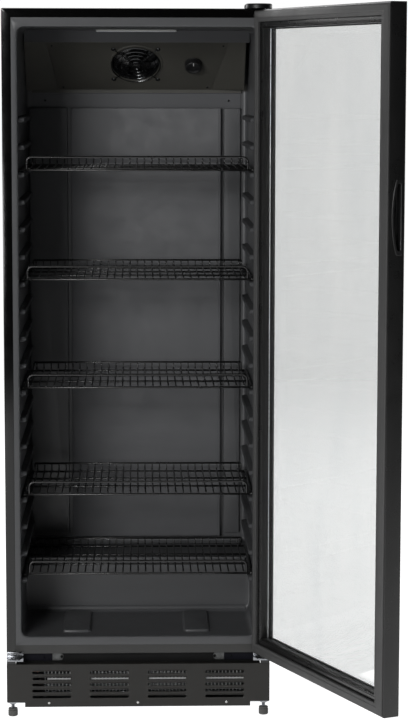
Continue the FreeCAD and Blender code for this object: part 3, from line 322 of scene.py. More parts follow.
class Shape:
    """Collects the faces of one piece, in millimetres in the CAD frame."""

    def __init__(self):
        self.form = bmesh.new()

    def skin(self, loops, closed=True, joined=False, caps=True):
        """Faces between successive loops of equally many points; joined closes the last loop on the first."""
        rings = [[self.form.verts.new(point) for point in loop] for loop in loops]
        count = len(rings[0])
        pairs = list(zip(rings, rings[1:]))
        if joined:
            pairs.append((rings[-1], rings[0]))
        for low, high in pairs:
            for i in range(count if closed else count - 1):
                j = (i + 1) % count
                self.form.faces.new((low[i], low[j], high[j], high[i]))
        if caps and closed and not joined:
            self.form.faces.new(list(reversed(rings[0])))
            self.form.faces.new(rings[-1])
        return rings

    def block(self, low, high, ease=0.0, steps=2):
        """A block whose edges are rounded by ease."""
        low, high = Vector(low), Vector(high)
        reach = min(ease, min(high - low) * 0.49)
        made = bmesh.ops.create_cube(self.form, size=1.0)["verts"]
        middle = (low + high) / 2
        for vert in made:
            vert.co = Vector([vert.co[i] * (high[i] - low[i]) + middle[i] for i in range(3)])
        if reach > 0:
            edges = list({edge for vert in made for edge in vert.link_edges})
            bmesh.ops.bevel(self.form, geom=edges, offset=reach, segments=steps, profile=0.5, affect="EDGES")

    def prism(self, outline, axis, low, high, ease=0.0):
        """An outline of (a, b) corners filled from low to high along an axis, its end edges eased."""
        order = {"x": lambda a, b, t: Vector((t, a, b)), "y": lambda a, b, t: Vector((a, t, b)),
                 "z": lambda a, b, t: Vector((a, b, t))}[axis]
        steps = [(low, 0.0), (high, 0.0)]
        if ease:
            steps = [(low, ease), (low + ease, 0.0), (high - ease, 0.0), (high, ease)]
        loops = []
        for place, inward in steps:
            loops.append([order(a, b, place) for a, b in inset(outline, inward)])
        self.skin(loops)

    def tube(self, path, radius, sides=8, closed=False):
        """Round wire along a path; open ends are slightly rounded."""
        path = [Vector(point) for point in path]
        loops = [ring_at(point, along, side, radius, sides) for point, along, side in frames_of(path, closed)]
        if not closed:
            first, last = loops[0], loops[-1]
            start, end = path[0], path[-1]
            back = (path[1] - start).normalized() * radius * 0.3
            front = (path[-2] - end).normalized() * radius * 0.3
            loops[0] = [point + back for point in first]
            loops[-1] = [point + front for point in last]
            loops.insert(0, [start + (point - start) * 0.7 for point in first])
            loops.append([end + (point - end) * 0.7 for point in last])
        self.skin(loops, joined=closed)

    def lathe(self, profile, turn, steps, warp=None, joined=False):
        """A profile of (radius, height) turned about Z, then placed.

        A warp changes a radius by angle and height. A joined profile closes on itself and leaves its bore open.
        """
        loops = []
        for radius, height in profile:
            loop = []
            for angle in angles(steps):
                reach = warp(radius, angle, height) if warp else radius
                loop.append(turn @ Vector((reach * math.cos(angle), reach * math.sin(angle), height)))
            loops.append(loop)
        self.skin(loops, joined=joined)

    def boss(self, turn, wide, high, rise, corner, draft=1.0, edge=2.0, flare=1.5, sink=0.3):
        """A raised pad on a plane: flared foot, drafted wall and rounded top edge, along local Z."""
        loops = []
        for grow, level in pad_steps(rise, draft, edge, flare, sink):
            outline = rounded_box(wide / 2 + grow, high / 2 + grow, max(0.2, corner + grow))
            loops.append([turn @ Vector((a, b, level)) for a, b in outline])
        self.skin(loops)

    def plate(self, outline, holes, place, thick, ease=0.25):
        """A sheet with holes: outlines are functions of how far they grow, and place maps (a, b, depth)."""
        rims = [outline(-ease)] + [hole(ease) for hole in holes]
        walls = [outline(0.0)] + [hole(0.0) for hole in holes]
        rows = []
        for contours, depth in ((rims, 0.0), (walls, ease), (walls, thick - ease), (rims, thick)):
            rows.append([[self.form.verts.new(place(a, b, depth)) for a, b in loop] for loop in contours])
        flat = [[Vector((a, b, 0)) for a, b in loop] for loop in rims]
        triangles = tessellate_polygon(flat)
        for row, flip in ((rows[0], False), (rows[3], True)):
            corners = [vert for loop in row for vert in loop]
            for triangle in triangles:
                picked = [corners[i] for i in triangle]
                self.form.faces.new(picked[::-1] if flip else picked)
        for near, far in zip(rows, rows[1:]):
            for low, high in zip(near, far):
                for i in range(len(low)):
                    j = (i + 1) % len(low)
                    self.form.faces.new((low[i], low[j], high[j], high[i]))

    def moved(self, turn):
        """Everything collected so far, placed by a matrix."""
        bmesh.ops.transform(self.form, matrix=turn, verts=self.form.verts)
        return self

    def made(self, name, finish, *nodes, angle=35, body=None, slot=None):
        """The finished piece: it stands for CAD nodes and rides on their body; the slot is looked up but not
        kept.
        """
        bmesh.ops.remove_doubles(self.form, verts=self.form.verts, dist=0.0005)
        bmesh.ops.dissolve_degenerate(self.form, edges=self.form.edges, dist=0.0005)
        bmesh.ops.recalc_face_normals(self.form, faces=self.form.faces)
        bmesh.ops.scale(self.form, vec=(MM, MM, MM), verts=self.form.verts)
        data = bpy.data.meshes.new(name)
        self.form.to_mesh(data)
        self.form.free()
        data.materials.append(finish)
        data.shade_smooth()
        data.set_sharp_from_angle(angle=math.radians(angle))
        piece = bpy.data.objects.new(name, data)
        bpy.context.scene.collection.objects.link(piece)
        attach(piece, body or BODY_OF[nodes[0]])
        slot or SLOT_OF[nodes[0]]
        if nodes:
            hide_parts(*nodes)
        return piece


def inset(outline, inward):
    """A closed outline moved inwards (towards its left when drawn anticlockwise)."""
    if not inward:
        return list(outline)
    area = sum(a[0] * b[1] - b[0] * a[1] for a, b in zip(outline, outline[1:] + outline[:1]))
    sign = 1 if area > 0 else -1
    moved = []
    for before, here, after in zip(outline[-1:] + outline[:-1], outline, outline[1:] + outline[:1]):
        one = (Vector(here) - Vector(before)).to_2d().normalized()
        two = (Vector(after) - Vector(here)).to_2d().normalized()
        normal = Vector((-one.y - two.y, one.x + two.x)) * sign
        length = max(0.35, 1 + one.dot(two))
        moved.append((here[0] + normal.x * inward / length, here[1] + normal.y * inward / length))
    return moved


def rounded_box(half_a, half_b, corner, steps=4):
    """A rectangle with rounded corners, anticlockwise, as (a, b) points."""
    corner = max(0.01, min(corner, half_a - 0.01, half_b - 0.01))
    points = []
    for quarter, (sign_a, sign_b) in enumerate(((1, 1), (-1, 1), (-1, -1), (1, -1))):
        for i in range(steps + 1):
            angle = math.pi / 2 * (quarter + i / steps)
            a = sign_a * (half_a - corner) + corner * math.cos(angle)
            b = sign_b * (half_b - corner) + corner * math.sin(angle)
            points.append((a, b))
    return points


def pad_steps(rise, draft, edge, flare, sink):
    """(growth, level) of the loops of a raised pad, from its foot to its top."""
    found = [(draft + flare, -sink), (draft + flare, 0.0)]
    for angle in quarter(4)[1:]:
        found.append((draft + flare * (1 - math.sin(angle)), flare * (1 - math.cos(angle))))
    for angle in quarter(4):
        found.append((-edge * (1 - math.cos(angle)), rise - edge + edge * math.sin(angle)))
    return found


def round_path(points, radius, steps=5, closed=False):
    """A path whose corners are turned into arcs."""
    points = [Vector(point) for point in points]
    count = len(points)
    found = []
    for i, here in enumerate(points):
        if not closed and i in (0, count - 1):
            found.append(here)
            continue
        one = (points[i - 1] - here).normalized()
        two = (points[(i + 1) % count] - here).normalized()
        half = one.angle(two) / 2
        if half > math.pi / 2 - 0.01:
            found.append(here)
            continue
        reach = radius / math.tan(half)
        centre = here + (one + two).normalized() * (radius / math.sin(half))
        start = here + one * reach - centre
        end = here + two * reach - centre
        for k in range(steps + 1):
            found.append(centre + start.normalized().slerp(end.normalized(), k / steps) * radius)
    return found


def frames_of(path, closed):
    """Points with the direction of the path and a sideways direction carried along it."""
    count = len(path)
    found = []
    side = None
    for i, here in enumerate(path):
        before = path[i - 1] if closed or i > 0 else None
        after = path[(i + 1) % count] if closed or i < count - 1 else None
        one = (here - before).normalized() if before is not None else None
        two = (after - here).normalized() if after is not None else None
        along = ((one or two) + (two or one)).normalized()
        if side is None:
            side = along.orthogonal().normalized()
        side = (side - along * side.dot(along)).normalized()
        found.append((here, along, side))
    return found


def ring_at(point, along, side, radius, sides):
    """A circle of points round a path."""
    other = along.cross(side)
    return [point + side * a + other * b for a, b in circle_points(radius, sides)]


def circle(centre_a, centre_b, radius, steps=20):
    """A hole or disc outline as a function of how far it grows."""
    return lambda grow: [(centre_a + a, centre_b + b) for a, b in circle_points(radius + grow, steps)]


def slot_shape(low_a, high_a, low_b, high_b, corner, steps=4):
    """A rounded rectangle outline as a function of how far it grows."""
    def outline(grow):
        half_a = (high_a - low_a) / 2 + grow
        half_b = (high_b - low_b) / 2 + grow
        middle_a = (high_a + low_a) / 2
        middle_b = (high_b + low_b) / 2
        return [(middle_a + a, middle_b + b) for a, b in rounded_box(half_a, half_b, corner + grow, steps)]
    return outline


def polygon_shape(points):
    """A straight-sided outline as a function of how far it grows."""
    return lambda grow: inset(points, -grow)


def facing(x, y, z, normal, up=(0, 0, 1)):
    """A matrix whose local Z is a normal and local Y leans towards up."""
    outward = Vector(normal).normalized()
    across = Vector(up).cross(outward).normalized()
    other = outward.cross(across)
    turn = Matrix((across, other, outward)).transposed().to_4x4()
    return Matrix.Translation((x, y, z)) @ turn


def screw(shape, turn, radius, rise):
    """A domed screw head with a cross recess, its foot on the local XY plane."""
    steps = 24
    reach = radius * 0.62
    arm = radius * 0.13
    hole = []
    for corner_of_cross in range(4):
        spin = Matrix.Rotation(math.pi / 2 * corner_of_cross, 2)
        hole += [(spin @ Vector(point)).to_3d() for point in ((arm, -arm), (reach, -arm), (reach, arm))]
    dome = [(1.0, 0.0), (1.0, 0.25), (0.93, 0.62), (0.8, 0.9), (0.7, 1.0)]
    loops = [placed_circle(turn, radius * size, rise * level, steps) for size, level in dome]
    rows = shape.skin(loops, caps=False)
    top = [Vector((a, b, 0)) for a, b in circle_points(radius * dome[-1][0], steps)]
    rim = [shape.form.verts.new(turn @ Vector((p.x, p.y, rise))) for p in hole]
    floor = [shape.form.verts.new(turn @ Vector((p.x * 0.8, p.y * 0.8, rise * 0.3))) for p in hole]
    corners = rows[-1] + rim
    for triangle in tessellate_polygon([top, hole]):
        shape.form.faces.new([corners[i] for i in triangle])
    for i in range(len(rim)):
        j = (i + 1) % len(rim)
        shape.form.faces.new((rim[i], rim[j], floor[j], floor[i]))
    shape.form.faces.new(floor)
    shape.form.faces.new(list(reversed(rows[0])))


# ---- cabinet outside

def make_shell():
    """Folded wrap with a rolled front edge, flanges mitred at the top corners and hemmed rear edges."""
    inner_top = LINER_HIGH.z
    panel_top = mm_box("base_panel")[1].z
    bend = 3.0
    stations = [((-HALF, panel_top), (-RIM_SIDE, panel_top), 0.0),
                ((-HALF, TOP - bend), (-RIM_SIDE, inner_top), 0.0)]
    for degrees, groove in ((160, 0), (139.8, 0), (135, 0.5), (130.2, 0), (110, 0), (90, 0)):
        turn = math.radians(degrees)
        outer = (bend - HALF + bend * math.cos(turn), TOP - bend + bend * math.sin(turn))
        stations.append((outer, (-RIM_SIDE, inner_top), groove))
    stations += [((-a[0], a[1]), (-b[0], b[1]), groove) for a, b, groove in reversed(stations)]
    loops = []
    for outer, inner, groove in stations:
        outer, inner = Vector(outer), Vector(inner)
        inward = (inner - outer).normalized()
        flange = [(inner, 1.0), (inner, 0.3 + groove), (inner - inward * 0.3, groove),
                  (outer + inward * 2, groove)]
        roll = [(outer + inward * 0.9, 0.2 + groove * 0.5), (outer + inward * 0.25, 0.9), (outer, 2.0)]
        hem = [(outer, BACK - 0.7), (outer + inward * 0.3, BACK), (outer + inward, BACK), (outer + inward, 3.0)]
        loops.append([Vector((place.x, depth, place.y)) for place, depth in flange + roll + hem])
    shape = Shape()
    shape.skin(loops)
    for side in (-1, 1):
        edges = sorted((side * HALF, side * (HALF - 1)))
        shape.block((edges[0], 0, SHELL_LOW.z), (edges[1], BACK, panel_top + 0.2), 0.3)
    shape.made("shell_wrap", SHELL, "outer_shell")


def make_back_panel():
    """Rear sheet with pressed stiffening beads and a row of screws round its edge."""
    low, high = mm_box("back_panel")
    shape = Shape()
    shape.block(low, high, 0.3)
    rear = high.y
    for level in (0.2, 0.45, 0.7, 0.9):
        height = low.z + (high.z - low.z) * level
        shape.boss(facing(0, rear, height, (0, 1, 0)), high.x * 1.55, 26, 2.2, 12, 2.0, 1.0, 1.6)
    shape.made("rear_sheet", GALVANISED, "back_panel")
    screws = Shape()
    for side in (-1, 1):
        for step in range(7):
            height = low.z + 20 + (high.z - low.z - 40) * step / 6
            screw(screws, facing(side * (high.x - 9), rear, height, (0, 1, 0)), 3.6, 1.8)
    for step in range(1, 4):
        screw(screws, facing(high.x * (step / 2 - 1), rear, high.z - 9, (0, 1, 0)), 3.6, 1.8)
    screws.made("rear_sheet_screws", STEEL, body="cabinet", slot="screw_steel")


def make_rear_grille():
    """Removable rear cover with pressed air slots, hooded on their upper edges."""
    low, high = mm_box("rear_grille")
    rear = high.y
    gland = middle_of("cord_gland")
    holes = [circle(gland.x, gland.z, 7.2)]
    shape = Shape()
    wide, tall = 130, 7
    for column in range(3):
        left = -215 + 150 * column
        for row in range(8):
            foot = 120 + 18 * row
            holes.append(slot_shape(left, left + wide, foot, foot + tall, 3.3))
            hood(shape, left + 3, left + wide - 3, foot + tall, rear - 0.5, -1, 7, 6)
    outline = slot_shape(low.x, high.x, low.z, high.z, 2)
    shape.plate(outline, holes, lambda a, b, depth: Vector((a, rear - depth, b)), 1.0)
    shape.made("rear_cover", GALVANISED, "rear_grille")
    screws = Shape()
    for x in (low.x + 10, 0, high.x - 10):
        for z in (low.z + 9, high.z - 7):
            screw(screws, facing(x, rear, z, (0, 1, 0)), 3.6, 1.8)
    screws.made("rear_cover_screws", STEEL, body="cabinet", slot="screw_steel")


def hood(shape, left, right, top, face, inward, deep, drop):
    """A pressed louvre blade that curves in and down behind the upper edge of a slot, with tapered ends."""
    loops = []
    for across, share in ((left, 0.25), (left + 4, 0.75), (left + 9, 1.0), (right - 9, 1.0),
                          (right - 4, 0.75), (right, 0.25)):
        near = []
        far = []
        for angle in quarter(5):
            reach = deep * share * math.sin(angle)
            fall = drop * share * (1 - math.cos(angle))
            near.append(Vector((across, face + inward * reach, top - fall)))
            far.append(Vector((across, face + inward * (reach + 0.2), top + 0.7 - fall * 0.98)))
        loops.append(near + far[::-1])
    shape.skin(loops)


def make_top_hinge_cover():
    """Half-moon cover with a rounded rim and a shallow dome."""
    low, high = mm_box("top_hinge_cover")
    nose = (high.x - low.x) / 2
    middle = (high.x + low.x) / 2
    front = low.y + nose
    rim, crown = 3.4, 0.8

    def outline(grow):
        points = [(high.x + grow, high.y - 3), (high.x - 3, high.y + grow), (low.x + 3, high.y + grow),
                  (low.x - grow, high.y - 3)]
        for i in range(25):
            angle = math.pi + math.pi * i / 24
            points.append((middle + (nose + grow) * math.cos(angle), front + (nose + grow) * math.sin(angle)))
        return points

    shape = Shape()
    loops = [[Vector((a, b, low.z)) for a, b in outline(grow)] for grow in (-2.2, 0)]
    for angle in quarter(5):
        grow = -rim * (1 - math.cos(angle))
        loops.append([Vector((a, b, high.z - crown - rim + rim * math.sin(angle))) for a, b in outline(grow)])
    centre = Vector((middle, (low.y + high.y) / 2, 0))
    for share in (0.8, 0.55, 0.3):
        ring = []
        for a, b in outline(-rim):
            point = centre.lerp(Vector((a, b, 0)), share)
            ring.append(Vector((point.x, point.y, high.z - crown * share ** 2)))
        loops.append(ring)
    shape.skin(loops)
    shape.made("hinge_hood", DARK_PLASTIC, "top_hinge_cover")


# ---- base

def make_base_panel():
    """Louvred panel: eased slots, curved hoods behind them and a folded upper flange."""
    low, high = mm_box("base_panel")
    notch = SHELL_LOW.z
    outline = polygon_shape([(-259, low.z), (256, low.z), (256, notch), (high.x, notch), (high.x, high.z),
                             (low.x, high.z), (low.x, notch), (-259, notch)])
    holes = []
    shape = Shape()
    wide = 88
    for column in range(4):
        left = -242 + 131.7 * column
        for row in range(5):
            middle = 51 + 14.2 * row
            slot = slot_shape(left, left + wide, middle - 3, middle + 3, 2.9)
            holes.append(slot)
            hood(shape, left + 3, left + wide - 3, middle + 3, low.y + 0.6, 1, 3.0, 1.0)
            lip(shape, slot, low.y)
    shape.plate(outline, holes, lambda a, b, depth: Vector((a, low.y + depth, b)), 1.2, 0.3)
    shape.block((low.x + 23, low.y + 0.8, high.z - 1.2), (high.x - 23, high.y, high.z), 0.5)
    for side in (-1, 1):
        edge = side * (HALF - 0.4)
        start, end = sorted((edge, edge - side * 1.2))
        shape.block((start, low.y + 0.2, notch), (end, 16, high.z - 0.4), 0.4)
    shape.made("louvred_panel", PANEL, "base_panel")


def lip(shape, outline, face):
    """A pressed rounded rim round one louvre slot."""
    loops = []
    for grow, proud in ((2.2, 0.05), (1.6, 0.5), (0.8, 0.8), (0.1, 0.5), (-0.3, -0.35), (0.6, -0.3)):
        loops.append([Vector((a, face - proud, b)) for a, b in outline(grow)])
    shape.skin(loops, joined=True)


def make_base_screws():
    """Three domed screws that hold the louvred panel."""
    face = mm_box("base_panel_screws")[1].y
    middle = middle_of("base_panel_screws").z
    shape = Shape()
    for x in (-204, -1.5, 201):
        screw(shape, facing(x, face, middle, (0, -1, 0)), 3.2, 1.55)
    shape.made("panel_screws", STEEL, "base_panel_screws")


BRACKET_TOP = 148
BRACKET_SIDES = (262, 299)
NOSE = 15


def bracket_outline(sign, grow):
    """Plan of a hinge bracket's tongue: straight sides into a round nose."""
    left, right = sorted(side * sign for side in BRACKET_SIDES)
    points = [(right + grow, -1.0), (left - grow, -1.0), (left - grow, -16.0)]
    for a, b in circle_points(NOSE + grow, 32)[16:] + [(NOSE + grow, 0.0)]:
        points.append((HINGE.x * sign + a, HINGE.y + b))
    points.append((right + grow, -16.0))
    return points


def make_bracket(name, sign, node, pin):
    """Zinc hinge bracket: an upright leg folded into a round-nosed tongue, with its pin or its empty hole."""
    top = BRACKET_TOP
    shape = Shape()
    axis = Matrix.Translation((HINGE.x * sign, HINGE.y, 0))
    holes = [] if pin else [circle(HINGE.x * sign, HINGE.y, 4.5)]
    shape.plate(lambda grow: bracket_outline(sign, grow), holes,
                lambda a, b, depth: Vector((a, b, top - depth)), 3, 0.6)
    left, right = sorted(side * sign for side in BRACKET_SIDES)
    leg_top = 156.7 if pin else mm_box(node)[1].z
    shape.block((left, -3, top - 14), (right, 0, leg_top), 0.9)
    bend = [(-3.0, top - 8), (-3.4, top - 4.5), (-5.5, top - 3.2), (-5.5, top - 0.4), (-3.0, top), (-0.5, top),
            (-0.5, top - 8)]
    shape.prism(bend, "x", left + 0.2, right - 0.2, 0.3)
    for x in (left + 9, right - 9):
        screw(shape, facing(x, -3, top - 8.8, (0, -1, 0)), 3.0, 1.4)
    if pin:
        profile = [(6.2, top - 0.2), (6.2, top + 0.25), (4.0, top + 0.3), (4.0, 174), (3.2, 175)]
        shape.lathe(profile, axis, 24)
    else:
        profile = [(4.4, top - 3.0), (6.0, top - 0.1), (6.2, top + 0.4), (5.2, top + 0.7), (4.4, top + 0.3)]
        shape.lathe(profile, axis, 28, joined=True)
    shape.made(name, ZINC, node)


def make_backing_plates():
    """Plates behind the brackets, each with a round end in plain dull zinc and a punched hole; the plates' dark
    blue-black is painted shade on their zinc.
    """
    low, high = mm_box("hinge_backing_plates")
    middle = (low.z + high.z) / 2
    half = (high.z - low.z) / 2
    joint, nose = 197, 180

    def place(a, b, depth):
        return Vector((a, low.y + depth, b))

    ends = Shape()
    plates = Shape()
    for sign in (-1, 1):
        def end_outline(grow, sign=sign):
            points = []
            for i in range(13):
                angle = math.pi / 2 + math.pi * i / 12
                points.append(((nose + (half + grow) * math.cos(angle)) * sign,
                               middle + (half + grow) * math.sin(angle)))
            flat_end = (joint + grow) * sign
            points += [(flat_end, middle - half - grow), (flat_end, middle + half + grow)]
            return points if sign > 0 else points[::-1]
        ends.plate(end_outline, [circle((nose - 5) * sign, middle, 3.0)], place, 3, 0.6)
        left, right = sorted((joint * sign, 274 * sign))
        plate = slot_shape(left, right, middle - half, middle + half, 1.0)
        plates.plate(plate, [circle(214 * sign, middle, 2.2)], place, 3, 0.6)
    # the plates take the dark finish as painted shade; the round ends keep plain dull zinc
    plates.made("bracket_backing", BACKING_PAINTED_SHADE, "hinge_backing_plates")
    ends.made("bracket_backing_ends", ZINC_DULL, body="cabinet", slot="zinc")


FEET = ("front_left", "front_right", "rear_left", "rear_right")


def make_feet():
    """Ribbed pads on threaded stems, each on the body that its joint moves."""
    for name in FEET:
        node = f"levelling_foot_{name}"
        low, high = mm_box(node)
        centre = Matrix.Translation(((low.x + high.x) / 2, (low.y + high.y) / 2, 0))
        shape = Shape()
        radius = (high.x - low.x) / 2

        def ribbed(reach, angle, height, wall=radius - 1):
            groove = 0.55 * max(0.0, math.cos(angle * 18))
            return reach - groove if 2.5 < height < 13 and reach > wall else reach

        pad = [(radius - 1.5, 0), (radius, 1.5), (radius, 2.6), (radius, 12.6), (radius, 13.2),
               (radius - 1.4, 14), (radius - 1.4, 15.4), (radius - 0.3, 15.8), (radius - 0.3, 17.4),
               (radius - 1, 18), (4.2, 18)]
        shape.lathe(pad, centre, 108, ribbed)
        shape.made(f"foot_pad_{name}", FOOT_PAD, node)
        stem = Shape()
        thread = [(3.4, 17.6)]
        height = 18.0
        while height < 61:
            thread += [(3.95, height + 0.3), (3.95, height + 0.55), (3.35, height + 1.0)]
            height += 1.25
        thread += [(3.0, 62)]
        stem.lathe(thread, centre, 18)
        stem.made(f"foot_stem_{name}", ZINC, body=BODY_OF[node], slot=SLOT_OF[node])


def make_foot_plates():
    """Zinc plates under the pan with a hexagon nut on each."""
    shape = Shape()
    for name in FEET:
        x, y, _ = middle_of(f"levelling_foot_{name}")
        inward = 1 if x < 0 else -1
        start, end = sorted((x - 10 * inward, x + 34 * inward))
        outline = slot_shape(start, end, y - 12, y + 12, 3)
        holes = [circle(x, y, 4.4), circle(x + 24 * inward, y, 2.4)]
        shape.plate(outline, holes, lambda a, b, depth: Vector((a, b, 33.5 + depth)), 3, 0.5)
        nut = [(7.5, 27.5), (8.5, 28.3), (8.5, 33.4), (4.3, 33.4), (4.3, 27.5)]
        shape.lathe(nut, Matrix.Translation((x, y, 0)), 6, joined=True)
    shape.made("foot_mounts", ZINC, "foot_plates")


def make_lower_rail():
    """Folded rail under the liner rim, with rolled bends."""
    low, high = mm_box("lower_front_rail")
    thin = 1.2
    fold = 152
    outside = round_path([(0, 0, high.z), (0, 0, fold), (0, high.y - thin, fold),
                          (0, high.y - thin, low.z)], 1.6, 4)
    inside = round_path([(0, thin, high.z), (0, thin, fold + thin), (0, high.y - thin, fold + thin),
                         (0, high.y, low.z)], 0.8, 4)
    points = [(p.y, p.z) for p in outside + inside[::-1]]
    shape = Shape()
    shape.skin([[Vector((x, y, z)) for y, z in points] for x in (low.x, high.x)])
    rail = shape.made("front_rail", RAIL, "lower_front_rail")
    rail.data.materials.append(RAIL_PAINTED_SHADE)
    # the faces behind the front 3 mm take a near-black finish, painted shade of the recess
    for face in rail.data.polygons:
        face.material_index = int(face.center.y > 3 * MM)


# ---- cold space

LINER_SIDE = 265.5
BACK_WALL = 418
COVER_SIDE = 263.5
FIRST_RIB = 318
RIB_PITCH = 61.4
SHELF_RIBS = (0, 3, 7, 11, 15)
SHELF_RODS = 29


def make_liner():
    """Moulded liner: rolled rim, rounded long edges, stepped floor and coved rear corners."""
    top = 1566.5
    floor = 191.8
    step = 324.0

    def loop(depth, grow, bottom):
        half_b = (top - bottom) / 2 + grow
        middle = (top + bottom) / 2
        outline = rounded_box(LINER_SIDE + grow, half_b, 15.0 + grow, 5)
        return [Vector((a, depth, middle + b)) for a, b in outline]

    def rim(depth, inward):
        half_b = (LINER_HIGH.z - LINER_LOW.z) / 2 - inward
        middle = (LINER_HIGH.z + LINER_LOW.z) / 2
        return [Vector((a, depth, middle + b)) for a, b in rounded_box(RIM_SIDE - inward, half_b, 1.0, 5)]

    loops = [loop(419.5, 1.5, step), loop(246.5, 1.5, step), loop(246.5, 1.5, floor), loop(1.5, 1.5, floor)]
    loops += [rim(1.5, 0.0), rim(0.4, 0.0), rim(0.0, 0.4)]
    for angle in quarter(6):
        loops.append(loop(4 * (1 - math.cos(angle)), 4 * (1 - math.sin(angle)), floor))
    for angle in quarter(6):
        loops.append(loop(233 + 12 * math.sin(angle), 0.0, floor + 12 * (1 - math.cos(angle))))
    for angle in quarter(6):
        loops.append(loop(245 + 10 * (1 - math.cos(angle)), 0.0, step - 10 + 10 * math.sin(angle)))
    for angle in quarter(6):
        loops.append(loop(408 + 10 * math.sin(angle), -10 * (1 - math.cos(angle)), step))
    shape = Shape()
    shape.skin(loops)
    for left, right in ((-175, -108), (103, 166)):
        turn = facing((left + right) / 2, 134, floor, (0, 0, 1), (0, 1, 0))
        shape.boss(turn, right - left - 6, 192, 6, 7, 1.0, 2.2, 2.0)
    bead = [(246, 1.5), (242.6, 2), (240.2, 5), (240, 8), (241.4, 12), (244, 15.5), (246, 17)]
    shape.prism([(y, floor + rise) for y, rise in bead], "x", -COVER_SIDE, 256, 1.2)
    panel = mm_box("air_duct_panel")
    foot, head = 350, 1384
    for left, right in ((-259, panel[0].x - 8), (panel[1].x + 7, 249)):
        turn = facing((left + right) / 2, BACK_WALL, (foot + head) / 2, (0, -1, 0))
        shape.boss(turn, right - left - 2.4, head - foot, 9, 2, 0.6, 1.2, 0.6)
    shape.made("liner_moulding", LINER, "inner_liner", angle=40)


def make_ribs():
    """Moulded shelf ribs that flow into the side walls."""
    for side_name, sign in (("left", -1), ("right", 1)):
        node = f"shelf_ribs_{side_name}"
        shape = Shape()
        for index in range(18):
            height = FIRST_RIB + RIB_PITCH * index
            back = 240 if index == 0 else 400
            turn = facing(LINER_SIDE * sign, (20 + back) / 2, height, (-sign, 0, 0))
            shape.boss(turn, back - 24, 10.5, 13.4, 4.5, 1.6, 2.6, 1.2)
        shape.made(f"rib_rows_{side_name}", RIB, node)


def make_duct_panel():
    """Air channel on the back wall, with a raised lip down its right edge and an eased left edge."""
    low, high = mm_box("air_duct_panel")
    face = low.y
    section = [(low.x, BACK_WALL), (low.x, face + 1.4), (low.x + 0.5, face + 0.4), (low.x + 1.6, face),
               (high.x - 8, face), (high.x - 6.6, face - 0.4), (high.x - 2.6, face - 3.2),
               (high.x - 1.4, face - 3.5),
               (high.x - 0.3, face - 2.6), (high.x, face - 1.4), (high.x, BACK_WALL)]
    shape = Shape()
    shape.prism(section, "z", low.z, high.z, 0.6)
    shape.made("duct_cover", DUCT, "air_duct_panel")


def make_drain_channel():
    """Rounded moulding over the melt water channel, with turned-in ends."""
    low, high = mm_box("drain_channel")
    back, front = high.y, low.y
    section = round_path([(0, back, low.z), (0, front, low.z), (0, front, high.z), (0, back, high.z)], 4.5)
    shape = Shape()
    middle = Vector((0, back, (low.z + high.z) / 2))
    loops = []
    for x, share in ((low.x, 0.55), (low.x + 1.0, 0.75), (low.x + 2.6, 0.92), (low.x + 5, 1.0),
                     (high.x - 5, 1.0), (high.x - 2.6, 0.92), (high.x - 1.0, 0.75), (high.x, 0.55)):
        loops.append([middle.lerp(point, share) + Vector((x, 0, 0)) for point in section])
    shape.skin(loops)
    shape.made("drain_moulding", DRAIN, "drain_channel")


SLOPE_TOP = Vector((0, 290, 1538))
SLOPE_FOOT = Vector((0, 413, 1428))
ALONG = (SLOPE_FOOT - SLOPE_TOP).normalized()
OUTWARD = Vector((0, ALONG.z, -ALONG.y))


def on_slope(across, height):
    """A matrix on the cover's sloping face: local X along +X and local Z out of the face."""
    share = (SLOPE_TOP.z - height) / (SLOPE_TOP.z - SLOPE_FOOT.z)
    place = SLOPE_TOP.lerp(SLOPE_FOOT, share)
    other = OUTWARD.cross(Vector((1, 0, 0)))
    turn = Matrix((Vector((1, 0, 0)), other, OUTWARD)).transposed().to_4x4()
    return Matrix.Translation((across, place.y, place.z)) @ turn


FAN_PLACE = on_slope(-3, 1488)
KNOB_PLACE = on_slope(133, 1490)


